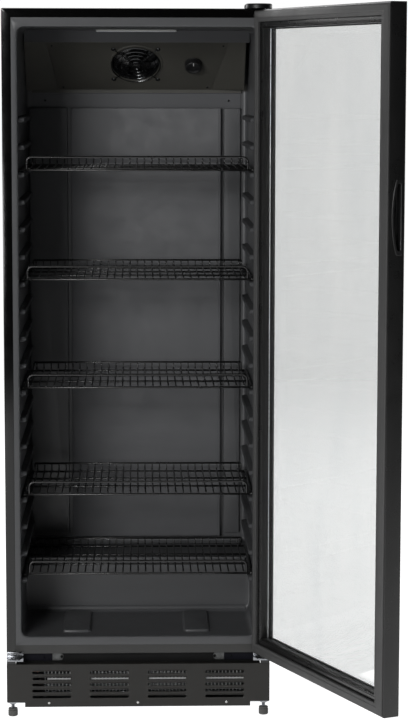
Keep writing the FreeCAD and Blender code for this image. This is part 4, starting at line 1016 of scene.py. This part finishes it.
def make_cover():
    """Folded cover: lip, sloping trapezoid with its fan opening, folded cheeks, lower lip and wall flange."""
    shape = Shape()
    long = (SLOPE_FOOT - SLOPE_TOP).length
    start = on_slope(0, SLOPE_TOP.z)
    fan = start.inverted() @ FAN_PLACE.translation
    knob = start.inverted() @ KNOB_PLACE.translation
    down = -1 if (start.inverted() @ SLOPE_FOOT).y < 0 else 1
    outline = polygon_shape([(-186, long * down), (178, long * down), (216, 0), (-214, 0)][::down * -1])
    holes = [circle(fan.x, fan.y, 56, 48), circle(knob.x, knob.y, 4, 16)]
    shape.plate(outline, holes, lambda a, b, depth: start @ Vector((a, b, -depth)), 1.5, 0.3)
    ring = [(57.5, 0.0), (58.5, 1.2), (60, 1.7), (62.5, 1.7), (64, 1.2), (65, 0.0), (64, -0.4), (58.5, -0.4)]
    shape.lathe(ring, FAN_PLACE, 64, joined=True)
    behind = Vector((0, 1.0, 1.1))
    head, foot = SLOPE_TOP.z, SLOPE_FOOT.z
    for top_x, foot_x, wall in ((-214, -186, -COVER_SIDE), (216, 178, 255)):
        corners = [Vector((top_x, SLOPE_TOP.y, head)), Vector((foot_x, SLOPE_FOOT.y, foot)),
                   Vector((wall, 388, foot)), Vector((wall, SLOPE_TOP.y + 0.4, head + 0.4))]
        shape.skin([corners, [point + behind for point in corners]])
    shape.block((-COVER_SIDE, SLOPE_TOP.y, head - 0.6), (COVER_SIDE, SLOPE_TOP.y + 1.6, 1566.3), 0.7, 3)
    shape.block((-252, 412.4, 1419), (251, 416.5, foot + 0.6), 1.3, 3)
    shape.block((-250, 416.2, 1384), (249, BACK_WALL, 1420), 0.7, 2)
    shape.block((-COVER_SIDE, 414.5, foot - 4), (COVER_SIDE, BACK_WALL - 0.2, 1442), 0.8, 2)
    cover = shape.made("coil_cover", COVER, "evaporator_cover", angle=6)
    cover.data.materials.append(DUCT)
    lip_foot = (head + 0.7) * MM
    flange_top = (foot - 4.5) * MM
    for face in cover.data.polygons:
        face.material_index = int(face.center.z > lip_foot or face.center.z < flange_top)
    screws = Shape()
    for across, height in ((-200, 1530), (202, 1530), (-176, 1434), (168, 1434)):
        screw(screws, on_slope(across, height), 2.6, 1.3)
    for across in (220, -220):
        screw(screws, facing(across, 416.2, 1402, (0, -1, 0)), 2.6, 1.3)
    screws.made("coil_cover_screws", GUARD, body="cabinet", slot="guard_wire")


def make_fan_guard():
    """Domed wire guard: five rings welded to four arms that end in screwed eyes."""
    shape = Shape()

    def dome(radius):
        return 3.2 + 2.6 * (1 - (radius / 60) ** 2)

    for index in range(5):
        radius = 12 + 11.4 * index
        shape.tube(placed_circle(FAN_PLACE, radius, dome(radius), 56), 1.1, closed=True)
    screws = Shape()
    for arm in range(4):
        turn = FAN_PLACE @ Matrix.Rotation(math.pi / 4 + math.pi / 2 * arm, 4, "Z")
        path = [(9 + 5 * i, 0, dome(9 + 5 * i) - 1.7) for i in range(11)] + [(64, 0, 1.5), (69.5, 0, 1.2)]
        shape.tube([turn @ Vector(point) for point in path], 1.2)
        eye = turn @ Matrix.Translation((74, 0, 0))
        shape.tube(placed_circle(eye, 4.4, 1.2, 18), 1.1, closed=True)
        screw(screws, eye @ Matrix.Translation((0, 0, 1.0)), 4.2, 2.2)
    shape.made("fan_guard_wires", GUARD, "evaporator_fan_guard")
    screws.made("fan_guard_screws", GUARD, body="cabinet", slot="screw_steel")


def fan_wheel(turn, hub, tip, low, high, count, lean):
    """A hub with a domed cap and curved, pitched blades round it."""
    shape = Shape()
    profile = [(2.2, low), (hub - 1, low), (hub, low + 1), (hub, high - 2.5), (hub - 1.0, high - 0.9),
               (hub - 3, high - 0.2), (hub * 0.55, high - 0.2), (hub * 0.5, high - 0.9),
               (hub * 0.2, high - 0.9), (hub * 0.1, high - 0.6)]
    shape.lathe(profile, turn, 36)
    middle = (low + high) / 2
    span = (high - low) / 2 - 0.8
    for blade in range(count):
        loops = []
        for share in [step / 6 for step in range(7)]:
            reach = hub - 1.5 + (tip - hub + 1.5) * share
            base = 2 * math.pi * blade / count + lean * share ** 2
            half = math.pi / count * (0.62 + 0.26 * math.sin(math.pi * share * 0.8))
            loop = []
            for thick in (0.55, -0.55):
                row = []
                for i in range(7):
                    t = i / 3 - 1
                    pitched = t * span * (1 - 0.25 * share) + 1.6 * (1 - t * t)
                    height = middle + pitched + thick * (1 - 0.6 * t * t)
                    angle = base + t * half
                    row.append(turn @ Vector((reach * math.cos(angle), reach * math.sin(angle), height)))
                loop += row if thick > 0 else row[::-1]
            loops.append(loop)
        shape.skin(loops)
    return shape


def make_fans():
    """Both fan wheels on their joints' bodies."""
    wheel = fan_wheel(FAN_PLACE, 17, 53, -15, -4, 7, 0.55)
    wheel.made("cold_fan_wheel", FAN_GLOSS, "evaporator_fan_blades")
    place = Matrix.Translation((0, 94, 94)) @ Matrix.Rotation(math.pi / 2, 4, "X")
    wheel = fan_wheel(place, 16, 47, -10, 10, 5, 0.5)
    wheel.made("cooling_fan_wheel", DARK_PLASTIC, "condenser_fan_blades")


def make_knob():
    """Fluted thermostat knob with a skirt, a dished top and a raised pointer."""
    shape = Shape()

    def fluted(reach, angle, height):
        flute = 0.75 * (0.5 - 0.5 * math.cos(angle * 24)) ** 2
        return reach - flute if 2.6 < height < 15.6 and reach > 18 else reach

    profile = [(3.0, -11.8), (3.0, 0.6), (20.2, 0.6), (20.5, 1.0), (20.5, 2.4), (19.9, 2.9), (19.9, 3.4),
               (19.8, 14.6), (19.2, 15.6), (18.0, 16.2), (15.5, 16.4), (14.5, 15.8), (6, 15.4), (1, 15.4)]
    shape.lathe(profile, KNOB_PLACE, 144, fluted)
    shape.made("dial", KNOB_BLACK, "thermostat_knob")
    pointer = Shape()
    pointer.block((-1.1, 7.5, 15.2), (1.1, 17.5, 16.45), 0.4)
    pointer.moved(KNOB_PLACE).made("dial_pointer", WHITE, body="thermostat_dial", slot="control_plastic")


def make_lamp():
    """Slim ceiling lamp: a rounded housing and a ribbed lens."""
    low, high = mm_box("lamp_housing")
    shape = Shape()
    wall = 2.0
    shape.block((low.x, low.y, high.z - wall), high, 0.6)
    for start, end in (((low.x, low.y), (low.x + wall, high.y)), ((high.x - wall, low.y), (high.x, high.y)),
                       ((low.x, low.y), (high.x, low.y + wall)), ((low.x, high.y - wall), (high.x, high.y))):
        shape.block((start[0], start[1], low.z), (end[0], end[1], high.z - 1), 0.6)
    shape.made("lamp_body", WHITE, "lamp_housing")
    low, high = mm_box("lamp_lens")
    lens = Shape()
    section = []
    rim = high.z - 1.4
    for angle in [math.pi * i / 12 for i in range(13)]:
        y = (low.y + high.y) / 2 - (high.y - low.y) / 2 * math.cos(angle)
        section.append((y, rim - (rim - low.z) * math.sin(angle) ** 0.6))
    section += [(high.y, high.z), (low.y, high.z)]
    lens.prism(section, "x", low.x, high.x, 0.3)
    lens.made("lamp_diffuser", LAMP, "lamp_lens", angle=50)


def make_shelf(index):
    """One wire shelf: frame wires, bent rods, a front fence and a back rail, welded where they cross."""
    rib = FIRST_RIB + RIB_PITCH * SHELF_RIBS[index - 1]
    level = rib + 10.8
    shape = Shape()
    front, back = 38, 348
    half = 259
    for x in (-half, half):
        shape.tube([(x, front - 3, level), (x, back + 3, level)], 3.0, 12)
    for share in (0.0, 0.34, 0.68, 1.0):
        y = front + (back - front) * share
        shape.tube([(-half, y, level), (half, y, level)], 2.4, 10)
    pitch = 2 * half / (SHELF_RODS + 1)
    end = back + 2.2
    for rod in range(1, SHELF_RODS + 1):
        x = pitch * rod - half
        bent = [(x, front - 1.5, level + 3.5), (x, end, level + 3.5), (x, end, level + 21.5)]
        shape.tube(round_path(bent, 5), 1.6)
    fence = 248
    corners = [(-fence, front, level + 2), (-fence, front, level + 29), (fence, front, level + 29),
               (fence, front, level + 2)]
    shape.tube(round_path(corners, 12, 7), 2.4, 10)
    shape.tube([(-fence, back, level + 20), (fence, back, level + 20)], 2.4, 10)
    for x in (-fence, fence):
        shape.tube([(x, back, level + 20), (x, back, level)], 2.2)
    shape.made(f"wire_shelf_{index}", WIRE, f"shelf_{index}", angle=50)


# ---- door, drawn shut and then swung

DOOR_FOOT = 157.0
DOOR_TOP = 1603.6
DOOR_OUTER = -43.5
DOOR_INNER = -7.0
STILE_PROFILE = [
    (1.4, DOOR_OUTER), (36.5, DOOR_OUTER), (37.2, -43.1), (37.9, DOOR_OUTER), (39.3, DOOR_OUTER), (40, -43.0),
    (40, -42.35), (28, -42.35), (28, -30.9), (40, -30.9), (40, -8.0), (39.7, -7.3), (39.0, DOOR_INNER),
    (37.6, DOOR_INNER), (37.2, -7.3), (36.9, -8.1), (36.2, -8.1), (35.9, -7.3), (35.5, DOOR_INNER),
    (1.5, DOOR_INNER), (0.45, -7.45), (0, -8.5),
]
OUTER_FACE = [(0, -41.9), (0.4, -43.05)]
MITRE_GAP = 0.12
CUP_LOW, CUP_HIGH = 1102.0, 1254.0


def across_bar(side, outline, low, high):
    """Loops of an upright bar on one side of the door, from height functions of the inward distance."""
    loops = []
    for level in (low, high):
        loops.append([Vector((side * (HALF - u), y, level(u))) for u, y in outline])
    return loops


def make_stiles():
    """Upright frame members with mitred ends; the free one has a pocket for the handle cup."""
    cup_low, cup_high = CUP_LOW + 2, CUP_HIGH - 2
    near, far = -14.7, -36.5

    def foot(u):
        return DOOR_FOOT + u + MITRE_GAP

    def head(u):
        return DOOR_TOP - u - MITRE_GAP

    whole = STILE_PROFILE + OUTER_FACE
    notched = STILE_PROFILE + [(0, near), (15, near), (15, far), (0, far)] + OUTER_FACE
    shape = Shape()
    shape.skin(across_bar(1, whole, foot, head))
    shape.moved(SWING).made("stile_hinge_side", DOOR_PAINT, "door_hinge_stile", angle=30)
    shape = Shape()
    shape.skin(across_bar(-1, whole, foot, lambda u: cup_low))
    shape.skin(across_bar(-1, notched, lambda u: cup_low, lambda u: cup_high))
    shape.skin(across_bar(-1, whole, lambda u: cup_high, head))
    pocket = polygon_shape([(far, cup_low), (near, cup_low), (near, cup_high), (far, cup_high)])
    opening = bowed_shape(-34.6, -26.5, 10.0, cup_low + 5, cup_high - 5)
    shape.plate(pocket, [opening], lambda a, b, depth: Vector((-HALF + depth, a, b)), 1.0, 0.05)
    shape.moved(SWING).made("stile_free_side", DOOR_PAINT, "door_free_stile", angle=30)


def make_rails():
    """Level frame members with mitred ends."""
    for name, node, edge, inward in (("rail_top", "door_top_rail", DOOR_TOP, -1),
                                     ("rail_bottom", "door_bottom_rail", DOOR_FOOT, 1)):
        loops = []
        for side in (-1, 1):
            loops.append([Vector((side * (HALF - u - MITRE_GAP), y, edge + inward * u))
                          for u, y in STILE_PROFILE + OUTER_FACE])
        shape = Shape()
        shape.skin(loops)
        shape.moved(SWING).made(name, DOOR_PAINT, node, angle=30)


def mitred_ring(shape, section):
    """A closed frame of one section; its points are (distance in from the door's edge, y)."""
    loops = []
    for side, edge, up in ((-1, DOOR_FOOT, 1), (1, DOOR_FOOT, 1), (1, DOOR_TOP, -1), (-1, DOOR_TOP, -1)):
        loops.append([Vector((side * (HALF - u), y, edge + up * u)) for u, y in section])
    shape.skin(loops, joined=True)


def make_gasket():
    """Magnetic gasket: sloping skirt, flat magnet face with a shallow channel and a pleated inner wall."""
    rises = [(3, 0), (3, 2.1), (3.7, 2.8), (8.5, 4.2), (14.6, 6.0), (16.4, 6.5), (17.4, 6.6), (18.6, 6.6),
             (19.2, 6.1), (22.6, 6.1), (23.2, 6.6), (25.2, 6.6), (26.4, 6.3), (26.9, 5.7), (26.9, 5.1),
             (25.5, 4.5), (25.5, 4.1), (26.9, 3.6), (26.9, 3.1), (25.5, 2.6), (25.5, 2.2), (26.9, 1.7),
             (26.9, 1.2), (25.9, 0.7), (25.9, 0)]
    shape = Shape()
    mitred_ring(shape, [(u, DOOR_INNER + rise) for u, rise in rises])
    shape.moved(SWING).made("gasket", GASKET, "door_gasket", angle=32)


def make_glass():
    """Two panes with arrissed edges, the spacer between them, and the seal and bead round the inner one."""
    edge = 28.5
    for name, node, low, high in (("pane_outer", "outer_glass", -42.2, -39.2),
                                  ("pane_inner", "inner_glass", -34, -31)):
        shape = Shape()
        shape.block((edge - HALF, low, DOOR_FOOT + edge), (HALF - edge, high, DOOR_TOP - edge), 0.5, 1)
        shape.moved(SWING).made(name, GLASS, node)
    shape = Shape()
    section = [(edge, -39.2), (40.6, -39.2), (41, -38.8), (41, -37.2), (40.5, -36.9), (40.5, -36.3), (41, -36),
               (41, -34.4), (40.6, -34), (edge, -34)]
    mitred_ring(shape, section)
    shape.moved(SWING).made("glass_edge_spacer", SPACER, "glass_spacer")
    seal = Shape()
    seal_lip = [(39.6, -30.8), (42.6, -30.8), (43.0, -30.3), (42.6, -28.4), (41.2, -27.6), (39.6, -27.6)]
    reveal = [(39.8, -25.4), (40.35, -25.4), (40.35, -9.0), (40.1, -8.6), (39.8, -8.6)]
    for section in (seal_lip, reveal):
        mitred_ring(seal, section)
    seal.moved(SWING).made("glazing_seal", SPACER, body="door", slot="spacer_black")
    bead = Shape()
    section = [(39.6, -27.5), (40.9, -27.5), (41.2, -27.1), (41.2, -25.9), (40.9, -25.5), (39.6, -25.5)]
    mitred_ring(bead, section)
    bead.moved(SWING).made("glazing_bead", BEAD, body="door", slot="screw_steel")


def bowed_shape(straight, start, bow, low, high, steps=24):
    """An upright outline with one straight side and one that bows out, as a function of how far it grows."""
    points = [(straight + 2, low), (start, low)]
    for i in range(1, steps):
        share = i / steps
        points.append((start + bow * math.sin(math.pi * share) ** 0.7, low + (high - low) * share))
    points += [(start, high), (straight + 2, high), (straight + 0.6, high - 0.6), (straight, high - 2.2),
               (straight, low + 2.2), (straight + 0.6, low + 0.6)]
    return polygon_shape(points)


def make_handle():
    """Recessed pull: a lipped bezel, a cup that narrows towards its floor and a swelling finger grip."""
    low, high = CUP_LOW, CUP_HIGH
    shape = Shape()
    bezel = bowed_shape(-37.7, -25.0, 11.5, low, high)
    opening = bowed_shape(-34.2, -28.0, 9.0, low + 9, high - 9)

    def place(a, b, depth):
        return Vector((-HALF - 0.8 + depth, a, b))

    shape.plate(bezel, [opening], place, 1.6, 0.7)
    inside = [(0.0, 0.8), (-0.2, 4), (-0.5, 8), (-1.2, 11), (-2.6, 12.6), (-4.5, 13.2)]
    outside = [(-4.5, 14.4), (0.9, 13.6), (0.9, 0.9)]
    loops = [[place(a, b, depth) for a, b in opening(grow)] for grow, depth in inside + outside]
    shape.skin(loops, joined=True)
    shape.moved(SWING).made("pull_cup", DARK_PLASTIC, "handle_cup", angle=40)
    grip = Shape()
    rows = []
    root = -20.2
    for share in [i / 22 for i in range(23)]:
        height = low + 22 + (high - low - 50) * share
        swell = math.sin(math.pi * share) ** 0.7
        row = []
        for angle in [math.pi * k / 8 for k in range(9)]:
            row.append(Vector((-HALF + 0.2 + 8.5 * (1 - math.sin(angle) * 0.8 * swell),
                               root - 5.2 * swell * (0.5 - 0.5 * math.cos(angle)), height)))
        row += [Vector((-HALF + 11, root - 5.0 * swell, height)), Vector((-HALF + 11, root + 1.2, height))]
        rows.append(row)
    grip.skin(rows)
    grip.moved(SWING).made("pull_grip", GLOSS_PLASTIC, body="door", slot="cup_black")


def make_bushes():
    """Plastic bushes with collars round the hinge pins."""
    shape = Shape()
    place = Matrix.Translation((HINGE.x, HINGE.y, 0))
    lower = [(4.2, 148.4), (8.6, 148.4), (9, 148.9), (9, 155.6), (8.4, 156.9), (7, 157.1), (7, 180.6),
             (4.2, 181)]
    upper = [(4.2, 1579.8), (7, 1580), (7, 1603), (6.4, 1603.5), (4.2, 1603.5)]
    for profile in (lower, upper):
        shape.lathe(profile, place, 32, joined=True)
    shape.made("pin_bushes", DARK_PLASTIC, "hinge_bushes")


# ---- machine compartment

def make_condenser():
    """Finned block: thin fins on black tubes that turn back at both ends, with wires in front whose near-white
    colour is painted highlight.
    """
    fins = Shape()
    count = 56
    left, right = -214, 234
    for i in range(count):
        x = left + (right - left) * i / (count - 1)
        fins.block((x - 0.7, 34.2, 44.2), (x + 0.7, 73.8, 111.8), 0.4, 1)
    for x in (left - 1, right):
        fins.block((x, 33.2, 43), (x + 1.2, 74.8, 113), 0.3)
    fins.made("condenser_fins", ALUMINIUM, "condenser_coil")
    tubes = Shape()
    rows = [(44 + 20 * column, 56 + 22 * row) for row in range(3) for column in range(2)]
    for y, z in rows:
        tubes.tube([(-218, y, z), (238, y, z)], 4, 12)
    left_bends = [(start, end, -218, -226, 3.4) for start, end in ((0, 1), (2, 3), (4, 5))]
    right_bends = [(start, end, 238, 244.4, 3.2) for start, end in ((1, 3), (2, 4))]
    for start, end, near, far, radius in left_bends + right_bends:
        route = [(near, *rows[start]), (far, *rows[start]), (far, *rows[end]), (near, *rows[end])]
        tubes.tube(round_path(route, 4.4), radius, 10)
    tubes.made("condenser_tubes", GLOSS_PLASTIC, body="cabinet", slot="compressor_black")
    screen = Shape()
    for i in range(55):
        x = -206 + 8.3 * i
        screen.tube([(x, 9.6, 64), (x, 9.6, 115)], 1.0)
    for y, z, radius in ((6.8, 91.2, 1.9), (11.6, 65, 1.0), (11.6, 114, 1.0)):
        screen.tube([(-208, y, z), (244, y, z)], radius, 10)
    # near-white wires: painted highlight behind the louvres
    screen.made("condenser_wires", WIRE_PAINTED_HIGHLIGHT, body="cabinet", slot="coil_fins")


def make_compressor():
    """Welded steel shell with a rolled seam, a terminal cover and stub pipes."""
    centre = middle_of("compressor")
    foot = mm_box("compressor")[0].z
    profile = [(8, foot)]
    for angle in quarter(6):
        profile.append((50 + 18 * math.sin(angle), foot + 22 * (1 - math.cos(angle))))
    profile += [(68, 122), (69.6, 123), (71, 124.4), (71, 129.6), (69.6, 131), (68, 132)]
    for angle in quarter(11):
        profile.append((66.5 - 62 * (1 - math.cos(angle)), 158 + 61 * math.sin(angle) ** 1.1))
    shape = Shape()
    shape.lathe(profile, Matrix.Translation((centre.x, centre.y, 0)), 48)
    shape.boss(facing(centre.x, centre.y - 66, 145, (0, -1, 0)), 46, 34, 9, 6, 1.5, 2.5, 1.0, 6)
    shape.made("compressor_shell", GLOSS_PLASTIC, "compressor")


def make_gland():
    """Stepped ring with gripping ribs for a supply cord, with its bore left open."""
    middle = middle_of("cord_gland")
    place = Matrix.Translation((middle.x, BACK, middle.z)) @ Matrix.Rotation(-math.pi / 2, 4, "X")
    collar = 12
    profile = [(4.6, -5.6), (6.6, -6), (7, -5.4), (7, 0), (11.6, 0), (collar, 0.4), (collar, 2.6), (11.4, 3.1),
               (9.4, 6.2), (9, 8.4), (8.4, 9), (5.0, 9), (4.6, 8.5)]

    def ribbed(reach, angle, height):
        return reach - 0.5 * max(0.0, math.cos(angle * 12)) if reach == collar else reach

    shape = Shape()
    shape.lathe(profile, place, 72, ribbed, joined=True)
    shape.made("cord_bushing", RUBBER, "cord_gland")


def ease_cad_nodes():
    """CAD nodes that stay in view keep their shape, with welded seams and rounded edges."""
    widths = {
        "evaporator_fan_frame": 0.8, "thermostat_body": 1.2, "condenser_fan_shroud": 0.4,
        "condenser_fan_motor": 1.0, "drip_tray": 0.8, "filter_drier": 0.6, "top_hinge_plate": 0.7,
        "base_pan": 0.5, "floor_deck": 0.4,
        "compressor_plate": 0.8, "compressor_grommets": 1.2, "evaporator_coil": 0.8, "insulation_foam": 0.0,
        "refrigerant_pipes": 0.0,
    }
    for name, width in widths.items():
        node = frame["nodes"][name]
        weld = node.modifiers.new("weld", "WELD")
        weld.merge_threshold = 0.01 * MM
        if width:
            bevel = node.modifiers.new("ease", "BEVEL")
            bevel.width = width * MM
            bevel.segments = 2
            bevel.limit_method = "ANGLE"
            bevel.angle_limit = math.radians(40)
            bevel.use_clamp_overlap = True
        node.data.shade_smooth()
        sharp = node.modifiers.new("split", "EDGE_SPLIT")
        sharp.split_angle = math.radians(35)


def build():
    """Every piece of the object."""
    for make in (make_shell, make_back_panel, make_rear_grille, make_top_hinge_cover, make_base_panel,
                 make_base_screws):
        make()
    make_bracket("bracket_with_pin", 1, "hinge_bracket_right", True)
    make_bracket("bracket_spare", -1, "hinge_bracket_left", False)
    for make in (make_backing_plates, make_feet, make_foot_plates, make_lower_rail, make_liner, make_ribs,
                 make_duct_panel, make_drain_channel, make_cover, make_fan_guard, make_fans, make_knob,
                 make_lamp):
        make()
    for index in range(1, 6):
        make_shelf(index)
    for make in (make_stiles, make_rails, make_gasket, make_glass, make_handle, make_bushes, make_condenser,
                 make_compressor, make_gland, ease_cad_nodes):
        make()


# ---- camera, floor and light

CAMERA_PLACE = (-0.0061, -5.0617, 1.4381)
CAMERA_PITCH = 0.1204
CAMERA_YAW = 0.0306
CAMERA_ROLL = 0.0015
FOCAL_LENGTH = 113.435


def make_camera():
    """A long lens at the height of the upper shelf, looking slightly down and to the right."""
    data = bpy.data.cameras.new("camera")
    data.lens = FOCAL_LENGTH
    data.sensor_width = 36
    data.dof.use_dof = False
    camera = bpy.data.objects.new("camera", data)
    aim = Euler((math.pi / 2 - CAMERA_PITCH, 0, -CAMERA_YAW)).to_quaternion()
    camera.rotation_mode = "QUATERNION"
    camera.rotation_quaternion = aim @ Quaternion((0, 0, 1), CAMERA_ROLL)
    camera.location = CAMERA_PLACE
    bpy.context.scene.collection.objects.link(camera)
    bpy.context.scene.camera = camera


def seen_directly(n):
    """1 for what the camera sees, directly or through glass, and 0 for the light that surfaces receive."""
    path = n.node("ShaderNodeLightPath")
    return n.maths("MAXIMUM", path.outputs["Is Camera Ray"], path.outputs["Is Transmission Ray"])


def make_floor():
    """A plain pale floor, evenly white where seen directly or through glass, with a painted pool of light round
    the middle that shows only in reflections and fades out with distance.
    """
    form = bmesh.new()
    bmesh.ops.create_grid(form, x_segments=8, y_segments=8, size=6)
    data = bpy.data.meshes.new("floor")
    form.to_mesh(data)
    form.free()
    floor = bpy.data.objects.new("floor", data)
    n = Nodes("floor_white")
    n.set("Base Color", n.mix(n.noise(0.8, 2.0), tone(232, 232, 232), tone(238, 238, 238)))
    n.set("Roughness", n.spread(n.noise(6, 3.0), 0.75, 0.85))
    n.shader.inputs["Specular IOR Level"].default_value = 0.2
    n.shader.inputs["Emission Color"].default_value = (1, 1, 1, 1)
    path = n.node("ShaderNodeLightPath")
    distance = n.node("ShaderNodeVectorMath", {0: n.place}, operation="LENGTH").outputs["Value"]
    # painted pool of light: reflected rays see the floor glowing, brightest near the middle and fading out by
    # 5.8 m
    reflected_light_pool = n.maths("MULTIPLY", path.outputs["Is Glossy Ray"], n.spread(distance, 0.95, 0.0, 0.4, 5.8))
    direct = n.maths("MULTIPLY", seen_directly(n), 0.95)
    n.set("Emission Strength", n.maths("MAXIMUM", n.maths("MAXIMUM", direct, reflected_light_pool), 0.035))
    data.materials.append(n.material)
    bpy.context.scene.collection.objects.link(floor)


def area_light(name, place, target, size, power):
    """A soft oblong light aimed at a point."""
    data = bpy.data.lights.new(name, "AREA")
    data.shape = "RECTANGLE"
    data.size, data.size_y = size
    data.energy = power
    lamp = bpy.data.objects.new(name, data)
    lamp.location = place
    lamp.rotation_mode = "QUATERNION"
    lamp.rotation_quaternion = (Vector(target) - Vector(place)).to_track_quat("-Z", "Y")
    bpy.context.scene.collection.objects.link(lamp)


# name, place, target, (width, height) and power of each soft light, in metres and watts
LIGHTS = (
    ("key", (-2.35, -5.05, 2.38), (0.0, 0.2, 0.8), (2.2, 0.75), 116),
    ("low_fill", (-2.3, -4.8, 0.85), (0.0, 0.3, 1.4), (1.4, 0.5), 24),
    ("overhead", (0.3, 1.4, 4.2), (0.2, 0.2, 0), (3.0, 2.0), 26),
    ("rear_left", (-3.0, 3.6, 2.4), (0, 0.3, 0.8), (2.0, 2.0), 55),
    ("rear_right", (3.4, 3.0, 2.0), (0, 0.3, 0.8), (2.0, 2.0), 35),
)
ROOM_LIGHT = 0.012


def make_light():
    """Surroundings that look white and give a surface little light, and soft lights."""
    world = bpy.data.worlds.new("surroundings")
    world.use_nodes = True
    tree = world.node_tree
    background = tree.nodes["Background"]
    path = tree.nodes.new("ShaderNodeLightPath")
    seen = tree.nodes.new("ShaderNodeMath")
    seen.operation = "MAXIMUM"
    tree.links.new(path.outputs["Is Camera Ray"], seen.inputs[0])
    tree.links.new(path.outputs["Is Transmission Ray"], seen.inputs[1])
    strength = tree.nodes.new("ShaderNodeMapRange")
    strength.inputs["To Min"].default_value = ROOM_LIGHT
    strength.inputs["To Max"].default_value = 1.0
    tree.links.new(seen.outputs[0], strength.inputs["Value"])
    tree.links.new(strength.outputs[0], background.inputs["Strength"])
    background.inputs["Color"].default_value = (1, 1, 1, 1)
    bpy.context.scene.world = world
    for name, place, target, size, power in LIGHTS:
        area_light(name, place, target, size, power)
    bpy.context.scene.view_settings.view_transform = "Standard"


make_camera()
make_floor()
make_light()
finish_cad_nodes()
build()
